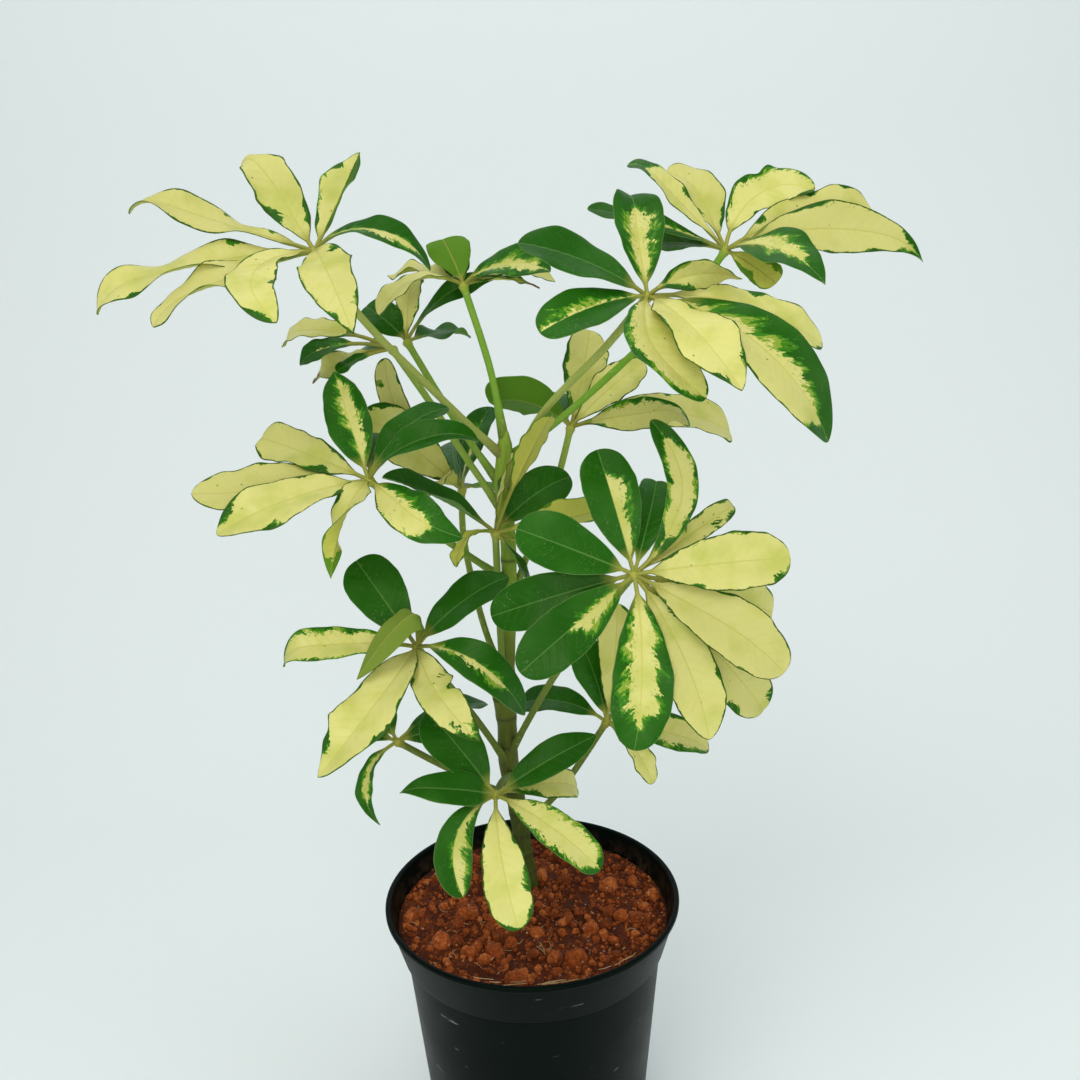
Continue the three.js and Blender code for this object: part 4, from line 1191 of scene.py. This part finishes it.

    # Green tissue: dark, with layers of mid green and jade of uneven width along the cream, and random
    # patches of painted sheen
    layerNoise = addNode(tree, "ShaderNodeTexNoise", {
        "Vector": tissue, "Scale": 0.13, "Detail": 3.0, "Roughness": 0.65})
    inBlotch = addNode(tree, "ShaderNodeMath", {0: inLine, 1: -0.25}, operation="MULTIPLY")
    nearCream = addNode(tree, "ShaderNodeMath", {0: cover, 1: inBlotch}, operation="MINIMUM")
    layerEdge = addNode(tree, "ShaderNodeMath", {
        0: layerNoise, 1: 1.6, 2: nearCream}, operation="MULTIPLY_ADD")
    midShare = addNode(tree, "ShaderNodeMapRange", {"Value": layerEdge, "From Min": 0.53, "From Max": 0.6})
    grain = addNode(tree, "ShaderNodeTexNoise", {"Vector": tissue, "Scale": 0.6, "Detail": 3.0})
    jadeEdge = addNode(tree, "ShaderNodeMath", {0: grain, 1: 0.5, 2: layerEdge}, operation="MULTIPLY_ADD")
    jadeShare = addNode(tree, "ShaderNodeMapRange", {"Value": jadeEdge, "From Min": 0.98, "From Max": 1.03})
    leafTone = addNode(tree, "ShaderNodeTexNoise", {"Vector": flat, "Scale": 0.05, "Detail": 2.0})
    # Painted sheen: paler green patches at random, standing in for the sky's reflection on the waxy leaf
    paintedSheenShare = addNode(tree, "ShaderNodeMapRange", {
        "Value": leafTone, "From Min": 0.5, "From Max": 0.72, "To Max": 0.25})
    greens = addNode(tree, "ShaderNodeMix", {
        "Factor": leafTone, "A": linear(bladeSet["darkGreen"]), "B": linear(bladeSet["richGreen"])},
        data_type="RGBA")
    for layer, colour in ((paintedSheenShare, "paintedSheenGreen"), (midShare, "midGreen"), (jadeShare, "jadeGreen")):
        greens = addNode(tree, "ShaderNodeMix", {
            "Factor": layer, "A": greens, "B": linear(bladeSet[colour])}, data_type="RGBA")

    # Cream tissue: warm, paler and limier in patches, freckled here and there
    creamTone = addNode(tree, "ShaderNodeTexNoise", {"Vector": flat, "Scale": 0.09, "Detail": 2.0})
    creams = addNode(tree, "ShaderNodeMix", {
        "Factor": creamTone, "A": linear(bladeSet["creamColour"]), "B": linear(bladeSet["paleCream"])},
        data_type="RGBA")
    limeNoise = addNode(tree, "ShaderNodeTexNoise", {"Vector": flat, "Scale": 0.055, "Detail": 3.0})
    limeShare = addNode(tree, "ShaderNodeMapRange", {
        "Value": limeNoise, "From Min": 0.5, "From Max": 0.7, "To Max": 0.6})
    freckle = addNode(tree, "ShaderNodeTexVoronoi", {"Vector": flat, "Scale": 0.2})
    freckleTone = addNode(tree, "ShaderNodeSeparateColor", {"Color": freckle.outputs["Color"]})
    freckleHere = addNode(tree, "ShaderNodeMath", {
        0: freckleTone.outputs["Red"], 1: 0.72}, operation="GREATER_THAN")
    freckleSpot = addNode(tree, "ShaderNodeMapRange", {
        "Value": freckle.outputs["Distance"], "From Min": 0.06, "From Max": 0.1,
        "To Min": 0.8, "To Max": 0.0})
    freckleShare = addNode(tree, "ShaderNodeMath", {0: freckleHere, 1: freckleSpot}, operation="MULTIPLY")

    # Small green flecks scattered in the cream close to its edge
    fleckNoise = addNode(tree, "ShaderNodeTexNoise", {"Vector": flat, "Scale": 0.75, "Detail": 3.0})
    fleckSpot = addNode(tree, "ShaderNodeMapRange", {"Value": fleckNoise, "From Min": 0.56, "From Max": 0.64})
    fleckNear = addNode(tree, "ShaderNodeMapRange", {
        "Value": cover, "From Min": 0.02, "From Max": 0.3, "To Min": 0.75, "To Max": 0.0})
    fleckShare = addNode(tree, "ShaderNodeMath", {0: fleckSpot, 1: fleckNear}, operation="MULTIPLY")
    for layer, colour in ((limeShare, "limeCream"), (freckleShare, "freckle"), (fleckShare, "fleckGreen")):
        creams = addNode(tree, "ShaderNodeMix", {
            "Factor": layer, "A": creams, "B": linear(bladeSet[colour])}, data_type="RGBA")

    # Side veins, drawn about 0.35 mm wide, and the midrib
    veinPhase = addNode(tree, "ShaderNodeMath", {
        0: acrossVeins, 1: bladeSet["veinSpacing"]}, operation="DIVIDE")
    veinGap = addNode(tree, "ShaderNodeMath", {0: veinPhase, 1: 0.5}, operation="PINGPONG")
    veinLine = addNode(tree, "ShaderNodeMapRange", {
        "Value": veinGap, "From Min": 0.0, "From Max": 0.09, "To Min": 1.0, "To Max": 0.0},
        interpolation_type="SMOOTHSTEP")
    veinFade = addNode(tree, "ShaderNodeMapRange", {
        "Value": spread, "From Min": 0.55, "From Max": 0.92, "To Min": 1.0, "To Max": 0.0})
    vein = addNode(tree, "ShaderNodeMath", {0: veinLine, 1: veinFade}, operation="MULTIPLY")
    ribWidth = addNode(tree, "ShaderNodeMath", {0: length, 1: -0.35, 2: 0.6}, operation="MULTIPLY_ADD")
    ribNear = addNode(tree, "ShaderNodeMath", {0: width, 1: ribWidth}, operation="DIVIDE")
    rib = addNode(tree, "ShaderNodeMapRange", {
        "Value": ribNear, "From Min": 0.5, "From Max": 1.0, "To Min": 1.0, "To Max": 0.0},
        interpolation_type="SMOOTHSTEP")
    veinOnCream = addNode(tree, "ShaderNodeMath", {0: vein, 1: 0.07}, operation="MULTIPLY")
    ribOnCream = addNode(tree, "ShaderNodeMath", {0: rib, 1: 0.75}, operation="MULTIPLY")
    creamLine = addNode(tree, "ShaderNodeMath", {0: veinOnCream, 1: ribOnCream}, operation="MAXIMUM")
    creamVeined = addNode(tree, "ShaderNodeMix", {
        "Factor": creamLine, "A": creams, "B": linear(bladeSet["deepCream"])}, data_type="RGBA")
    veinOnGreen = addNode(tree, "ShaderNodeMath", {0: vein, 1: 0.03}, operation="MULTIPLY")
    ribOnGreen = addNode(tree, "ShaderNodeMath", {0: rib, 1: 0.32}, operation="MULTIPLY")
    greenLine = addNode(tree, "ShaderNodeMath", {0: veinOnGreen, 1: ribOnGreen}, operation="MAXIMUM")

    # Powdery water marks on the green, and a pale rim where its edge thins out
    dustWhere = addNode(tree, "ShaderNodeTexNoise", {"Vector": flat, "Scale": 0.08, "Detail": 1.0})
    dustPatch = addNode(tree, "ShaderNodeMapRange", {"Value": dustWhere, "From Min": 0.48, "From Max": 0.66})
    dustFine = addNode(tree, "ShaderNodeTexNoise", {
        "Vector": flat, "Scale": 0.9, "Detail": 4.0, "Roughness": 0.7})
    dustSpot = addNode(tree, "ShaderNodeMapRange", {
        "Value": dustFine, "From Min": 0.56, "From Max": 0.72, "To Max": 0.34})
    dustShare = addNode(tree, "ShaderNodeMath", {0: dustPatch, 1: dustSpot}, operation="MULTIPLY")
    edgeShare = addNode(tree, "ShaderNodeMapRange", {
        "Value": fromMargin, "From Min": 0.08, "From Max": 0.3, "To Min": 0.6, "To Max": 0.0})
    notCream = addNode(tree, "ShaderNodeMapRange", {
        "Value": cover, "From Min": -0.3, "From Max": -0.05, "To Min": 1.0, "To Max": 0.0})
    edgeHere = addNode(tree, "ShaderNodeMath", {0: edgeShare, 1: notCream}, operation="MULTIPLY")
    lineDark = addNode(tree, "ShaderNodeMapRange", {
        "Value": fromMargin, "From Min": 0.4, "From Max": 1.0, "To Min": 1.0, "To Max": 0.15})
    lineShare = addNode(tree, "ShaderNodeMath", {0: creamShare, 1: lineDark}, operation="MULTIPLY")
    layers = [
        (greenLine, "ribGreen"),
        (dustShare, "waterMark"),
        (edgeHere, "paleEdge"),
        (lineShare, "marginGreen"),
    ]
    for layer, colour in layers:
        greens = addNode(tree, "ShaderNodeMix", {
            "Factor": layer, "A": greens, "B": linear(bladeSet[colour])}, data_type="RGBA")
    topSide = addNode(tree, "ShaderNodeMix", {
        "Factor": creamPart, "A": greens, "B": creamVeined}, data_type="RGBA")

    # The underside is paler, and a young leaflet shows its fresh underside all round
    lowSide = addNode(tree, "ShaderNodeMix", {
        "Factor": creamPart, "A": linear(bladeSet["greenUnder"]), "B": linear(bladeSet["creamUnder"])},
        data_type="RGBA")
    freshShare = addNode(tree, "ShaderNodeMath", {0: under, 1: 1.0}, operation="SUBTRACT", use_clamp=True)
    for layer, colour in ((freshShare, "freshUnder"), (creamLine, "lineUnder")):
        lowSide = addNode(tree, "ShaderNodeMix", {
            "Factor": layer, "A": lowSide, "B": linear(bladeSet[colour])}, data_type="RGBA")
    face = addNode(tree, "ShaderNodeMix", {"Factor": under, "A": topSide, "B": lowSide}, data_type="RGBA")

    # The stalk end is olive, and a damaged tip dries brown
    stalkEnd = addNode(tree, "ShaderNodeMapRange", {
        "Value": length, "From Min": 0.0, "From Max": 0.13, "To Min": 0.85, "To Max": 0.0})
    rooted = addNode(tree, "ShaderNodeMix", {
        "Factor": stalkEnd, "A": face, "B": linear(bladeSet["stalkEnd"])}, data_type="RGBA")
    dryStart = addNode(tree, "ShaderNodeMath", {0: length, 1: cream.outputs["Alpha"]}, operation="ADD")
    dryRagged = addNode(tree, "ShaderNodeMath", {0: blotch, 1: 0.25, 2: dryStart}, operation="MULTIPLY_ADD")
    dryShare = addNode(tree, "ShaderNodeMapRange", {"Value": dryRagged, "From Min": 1.14, "From Max": 1.2})
    dried = addNode(tree, "ShaderNodeMix", {
        "Factor": dryShare, "A": rooted, "B": linear(bladeSet["brown"])}, data_type="RGBA")

    # Each leaflet differs a little in tone
    tone = addNode(tree, "ShaderNodeMapRange", {"Value": seed, "To Min": 0.9, "To Max": 1.08})
    toned = addNode(tree, "ShaderNodeMix", {
        "Factor": 1.0, "A": dried, "B": tone}, data_type="RGBA", blend_type="MULTIPLY")

    quilt = addNode(tree, "ShaderNodeMath", {0: vein, 1: -0.7}, operation="MULTIPLY")
    fine = addNode(tree, "ShaderNodeTexNoise", {"Vector": flat, "Scale": 2.2, "Detail": 2.0})
    surface = addNode(tree, "ShaderNodeMath", {0: fine, 1: 0.35, 2: quilt}, operation="MULTIPLY_ADD")
    relief = addNode(tree, "ShaderNodeBump", {"Height": surface, "Strength": 0.5, "Distance": 0.00018})
    glossTop = addNode(tree, "ShaderNodeMapRange", {
        "Value": drift, "From Min": 0.3, "From Max": 0.7, "To Min": 0.3, "To Max": 0.42})
    gloss = addNode(tree, "ShaderNodeMath", {0: under, 1: 0.2, 2: glossTop}, operation="MULTIPLY_ADD")
    skin = addNode(tree, "ShaderNodeBsdfPrincipled", {
        "Base Color": toned, "Roughness": gloss, "IOR": 1.45, "Specular IOR Level": 0.24,
        "Specular Tint": linear(bladeSet["shineTint"]), "Normal": relief})
    glow = addNode(tree, "ShaderNodeBsdfTranslucent", {"Color": toned, "Normal": relief})
    lit = addNode(tree, "ShaderNodeMixShader", {0: 0.18, 1: skin, 2: glow})
    addNode(tree, "ShaderNodeOutputMaterial", {"Surface": lit})
    return finish


def stalkSkin():
    # Leaf stalk: smooth green skin with faint lengthwise streaks, browner at the foot and the hub, and darker
    # low down with painted shade under the foliage
    finish, tree = newFinish("leafStalkSkin")
    spot = addNode(tree, "ShaderNodeTexCoord").outputs["Object"]
    where = addNode(tree, "ShaderNodeAttribute", attribute_name="stalkPlace").outputs["Vector"]
    fresh, fromFoot, fromHub = addNode(tree, "ShaderNodeSeparateXYZ", {"Vector": where}).outputs
    patch = addNode(tree, "ShaderNodeTexNoise", {"Vector": spot, "Scale": 120.0, "Detail": 3.0})
    wander = addNode(tree, "ShaderNodeMath", {0: patch, 1: 0.5, 2: fresh}, operation="MULTIPLY_ADD")
    share = addNode(tree, "ShaderNodeMapRange", {"Value": wander, "From Min": 0.2, "From Max": 1.2})
    skinTone = addNode(tree, "ShaderNodeMix", {
        "Factor": share, "A": linear(stalkSet["olive"]), "B": linear(stalkSet["bright"])}, data_type="RGBA")
    height = addNode(tree, "ShaderNodeSeparateXYZ", {"Vector": spot}).outputs["Z"]
    # Painted shade: stalks darken below about 0.37 m, where the lower ones sit in the shade of the leaves
    # above
    lowShadeShare = addNode(tree, "ShaderNodeMapRange", {
        "Value": height, "From Min": 0.24, "From Max": 0.37, "To Min": 0.7, "To Max": 0.0})
    footShare = addNode(tree, "ShaderNodeMapRange", {
        "Value": fromFoot, "From Min": 3.0, "From Max": 16.0, "To Min": 0.6, "To Max": 0.0})
    hubShare = addNode(tree, "ShaderNodeMapRange", {
        "Value": fromHub, "From Min": 0.5, "From Max": 7.0, "To Min": 0.7, "To Max": 0.0})
    fleck = addNode(tree, "ShaderNodeTexNoise", {"Vector": spot, "Scale": 700.0, "Detail": 2.0})
    fleckShare = addNode(tree, "ShaderNodeMapRange", {
        "Value": fleck, "From Min": 0.6, "From Max": 0.72, "To Max": 0.4})
    for layer, colour in ((lowShadeShare, "aged"), (footShare, "foot"), (hubShare, "hub"), (fleckShare, "fleck")):
        skinTone = addNode(tree, "ShaderNodeMix", {
            "Factor": layer, "A": skinTone, "B": linear(stalkSet[colour])}, data_type="RGBA")
    relief = addNode(tree, "ShaderNodeBump", {"Height": fleck, "Strength": 0.25, "Distance": 0.0003})
    skin = addNode(tree, "ShaderNodeBsdfPrincipled", {
        "Base Color": skinTone, "Roughness": 0.6, "IOR": 1.45, "Specular IOR Level": 0.08,
        "Specular Tint": linear(stalkSet["shineTint"]), "Normal": relief})
    addNode(tree, "ShaderNodeOutputMaterial", {"Surface": skin})
    return finish


def direction(heading, rise):
    level = math.cos(math.radians(rise))
    turned = math.radians(heading)
    return np.array([level * math.cos(turned), level * math.sin(turned), math.sin(math.radians(rise))])


def bladeSpine(hub, face, shape, shares):
    # Middle line with the blade's right and up vectors at each station, as the solid has it
    chord = direction(shape["heading"], shape["rise"])
    up = direction(*face)
    up = up - chord * (up @ chord)
    if np.linalg.norm(up) < 0.15:
        up = np.array([0, 0, 1.0]) - chord * chord[2]
    up /= np.linalg.norm(up)
    right = np.cross(chord, up)
    reach, hook = shape["reach"], shape["hook"]
    lift = up * shape["bow"] * reach + right * shape["sway"] * reach
    near = chord * (0.3 + shape["lean"]) * reach + lift
    far = chord * (0.72 + shape["lean"]) * reach + lift
    end = chord * reach * (1 + 0.6 * hook) + up * hook * reach

    def pointAt(share):
        share = np.asarray(share, float)[:, None]
        rest = 1 - share
        curl = np.clip((share - 0.7) / 0.3, 0, None) ** 2 * hook * reach
        swing = np.clip((share - 0.5) / 0.5, 0, None) ** 2 * shape["veer"] * reach
        bend = 3 * rest ** 2 * share * near + 3 * rest * share ** 2 * far + share ** 3 * end
        return bend - up * curl + right * swing - chord * 0.6 * curl + np.array(hub, float)

    along = pointAt(np.minimum(1, shares + 0.01)) - pointAt(np.maximum(0, shares - 0.01))
    along /= np.linalg.norm(along, axis=1)[:, None]
    ups, rights = [], []
    blade = up
    for share, onward in zip(shares, along):
        blade = blade - onward * (blade @ onward)
        blade /= np.linalg.norm(blade)
        beside = np.cross(onward, blade)
        roll = math.radians(shape["turn"] + shape["twist"] * share * share * (3 - 2 * share))
        ups.append(blade * math.cos(roll) + beside * math.sin(roll))
        rights.append(beside * math.cos(roll) - blade * math.sin(roll))
    return pointAt(shares), np.array(ups), np.array(rights)


def bladeOutline(share, blunt):
    taper = bladeSet["baseTaper"]
    widest = taper / (taper + blunt)
    return share ** taper * (1 - share) ** blunt / (widest ** taper * (1 - widest) ** blunt)


def bladePoints(hub, face, shape, seed):
    # One leaflet: rings of points round its section, and the marks its finish reads
    stalk = shape["stalk"]
    even = np.linspace(0, 1, bladeSet["stations"])
    steps = 0.45 * even + 0.55 * np.sin(even * math.pi / 2)
    steps = np.concatenate([steps[:-1], [0.9985, 1.0]])
    stalkShares = np.linspace(0, stalk, bladeSet["stalkStations"])[:-1]
    shares = np.concatenate([stalkShares, stalk + (1 - stalk) * steps])
    centres, ups, rights = bladeSpine(hub, face, shape, shares)
    bladeShare = np.clip((shares - stalk) / (1 - stalk), 0, 1)
    outline = bladeOutline(bladeShare, shape["blunt"])
    half = shape["width"] / 2 * outline
    slim = bladeSet["stalkRadius"] * np.sqrt(np.clip(1 - bladeShare, 0, 1)) + 0.1
    half = np.sqrt(half ** 2 + slim ** 2)
    onStalk = (1 - smoothStep(0.9, 3.2, half)) * (1 - smoothStep(0.3, 0.6, bladeShare))
    along = np.concatenate([[0], np.cumsum(np.linalg.norm(np.diff(centres, axis=0), axis=1))])

    # Columns from the midrib to the margin: close by the rib, with a narrow one at the edge
    broad = np.array([0, 0.045, 0.1, 0.2, 0.34, 0.5, 0.66, 0.82, 0.955, 1])
    roundish = np.sin(np.arange(10) / 9 * math.pi / 2)
    edgeStep = np.clip(1 - bladeSet["marginRoll"] / half, 0.7, 0.975)
    columns = broad[None, :] * (1 - onStalk[:, None]) + roundish[None, :] * onStalk[:, None]
    columns[:, 8] = np.where(onStalk < 0.5, np.maximum(edgeStep, columns[:, 7] + 0.02), columns[:, 8])
    sides = np.concatenate([-columns[:, :0:-1], columns], axis=1)
    spread = np.abs(sides)
    paleness = (shape["cream"][0] + shape["cream"][1]) / 2
    shifts = np.where(sides < 0, 0, 2.6)
    nicks = np.zeros_like(sides)
    for rate, turn, weight in bladeSet["nicks"]:
        nicks += weight * np.sin(rate * bladeShare[:, None] + turn * seed + rate * shifts)
    trim = 1 + (0.015 + 0.035 * paleness) * nicks
    for hand, place, depth, long in shape["bites"]:
        notch = depth * np.exp(-((bladeShare - place) / long) ** 2)
        trim -= notch[:, None] * (sides * hand > 0)
    across = sides * half[:, None] * trim
    fold = math.radians(shape["fold"])
    soft = (np.sqrt(spread ** 2 + 0.015) - math.sqrt(0.015)) / (math.sqrt(1.015) - math.sqrt(0.015))
    phase = bladeSet["waveRate"] * shares[:, None] + shape["heading"] + np.where(sides < 0, 0, 2.1)
    height = soft * half[:, None] * math.sin(fold)
    height += shape["wave"] * spread ** 1.5 * np.sin(phase) * outline[:, None]
    height -= bladeSet["cupping"] * half[:, None] * spread ** 4
    # Pale blades ruffle more, each by its own seed
    ruffle = bladeSet["ruffle"] * (0.3 + 0.7 * paleness)
    ruffled = np.sin(bladeSet["ruffleRate"] * bladeShare[:, None] + 17 * seed + shifts)
    height += ruffle * spread ** 3 * ruffled * outline[:, None]
    rippled = np.sin(bladeSet["rippleRate"] * along[:, None] + 40 * seed + sides)
    height += bladeSet["rippleDepth"] * rippled * spread * outline[:, None]
    veins = (along[:, None] - bladeSet["veinSlope"] * np.abs(across)) / bladeSet["veinSpacing"]
    height += bladeSet["quilting"] * np.cos(2 * math.pi * veins) * (1 - spread ** 2) * outline[:, None]
    thin = bladeSet["thickness"] / 2 * np.sqrt(np.clip(1 - spread ** 10, 0, 1))
    ribFade = (1 - bladeShare)[:, None]
    groove = np.exp(-(across / bladeSet["grooveWidth"]) ** 2)
    top = thin - bladeSet["grooveDepth"] * groove * (0.3 + 0.7 * ribFade)
    ribShape = np.exp(-(across / bladeSet["ribWidth"]) ** 2)
    low = thin + (bladeSet["ribDepth"] * ribFade + 0.1) * ribShape
    bulge = bladeSet["stalkRadius"] * np.sqrt(np.clip(1 - spread ** 2, 0, 1))
    weight = onStalk[:, None]
    top = top * (1 - weight) + (bulge - 0.18 * np.exp(-(across / 0.4) ** 2)) * weight
    low = low * (1 - weight) + bulge * weight
    atEdge = spread > 0.9999
    top = np.where(atEdge, 0, top)
    low = np.where(atEdge, 0, low)

    def lay(offset):
        lateral = (across * math.cos(fold))[:, :, None] * rights[:, None, :]
        return centres[:, None, :] + lateral + (height + offset)[:, :, None] * ups[:, None, :]

    upper, lower = lay(top), lay(-low)
    order = slice(-2, 0, -1)
    points = np.concatenate([upper, lower[:, order]], axis=1)
    aroundSides = np.concatenate([sides, sides[:, order]], axis=1)
    aroundAcross = np.concatenate([across, across[:, order]], axis=1)
    flip = np.concatenate([np.where(atEdge, 0.5, 0.0), np.ones_like(sides[:, order])], axis=1)
    flip = np.maximum(flip, shape["pale"])
    ring = points.shape[1]
    lengths = np.repeat(along[:, None], ring, 1)
    margin = half[:, None] * (1 - np.abs(aroundSides))
    place = np.stack([aroundAcross, lengths, margin], -1).reshape(-1, 3)
    share = np.stack([aroundSides, np.repeat(bladeShare[:, None], ring, 1), flip], -1).reshape(-1, 3)
    return points.reshape(-1, 3), ring, len(shares), place, share


def bladeMesh(name, whorl, leafIndex):
    points, faces, places, shares, creams, seeds = [], [], [], [], [], []
    start = 0
    for index, shape in enumerate(whorl["leaflets"]):
        seed = ((leafIndex * 13 + index) * 0.61803) % 1
        made, ring, rings, place, share = bladePoints(whorl["hub"], whorl["face"], shape, seed)
        ids = start + np.arange(ring * rings).reshape(rings, ring)
        after = np.roll(ids, -1, axis=1)
        quads = np.stack([ids[:-1], after[:-1], after[1:], ids[1:]], -1).reshape(-1, 4)
        faces += quads.tolist()
        faces += [ids[0].tolist()[::-1], ids[-1].tolist()]
        points.append(made)
        places.append(place)
        shares.append(share)
        creams += [(*shape["cream"], shape["dry"])] * len(made)
        seeds += [seed] * len(made)
        start += len(made)
    blades = meshOf(name, np.concatenate(points), faces)
    storeMarks(blades, {
        "leafPlace": np.concatenate(places), "leafShare": np.concatenate(shares),
        "leafCream": creams, "leafSeed": seeds})
    return blades


def stalkMesh(name, whorl, skin):
    hub = np.array(whorl["hub"], float)
    knots = [stemAxisAt(whorl["from"]), *[np.array(knot, float) for knot in whorl["via"]], hub]
    onward = hub - knots[-2]
    knots.append(hub + onward / np.linalg.norm(onward) * stalkSet["hubRadius"] * 0.7)
    points, along = evenly(knotCurve(knots), stalkSet["spacing"])
    fromHub = along[-1] - along
    girth = stalkSet["radius"] + np.clip(1 - along / 22, 0, 1)
    swell = stalkSet["hubRadius"] - stalkSet["radius"]
    girth = girth + swell * np.exp(-((fromHub - 2) / 1.9) ** 2)
    girth = girth * np.sqrt(np.clip(1 - (1 - np.clip(fromHub / 1.8, 0, 1)) ** 2, 0.02, 1))
    fresh = np.full_like(along, whorl["fresh"])
    marks = {"girth": girth * mm, "stalkPlace": np.stack([fresh, along, fromHub], 1)}
    base = routeMesh(name + "Route", [points], marks)
    return runNodes(name, base, stalkTree, {
        "Sides": stalkSet["sides"], "Relief": stalkSet["relief"] * mm,
        "Relief Scale": stalkSet["reliefScale"], "Material": skin})


def buildLeaves():
    blade = variegatedBlade()
    skin = stalkSkin()
    for leafIndex, (node, whorl) in enumerate(compoundLeaves.items()):
        words = node.split("_")
        name = words[0] + "".join(word.capitalize() for word in words[1:])
        blades = bladeMesh(name + "Blades", whorl, leafIndex)
        blades.materials.append(blade)
        leaf = joined(name, [blades, stalkMesh(name + "Stalk", whorl, skin)])
        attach(leaf, "root")
        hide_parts(node)


buildLeaves()
print("leaves built")
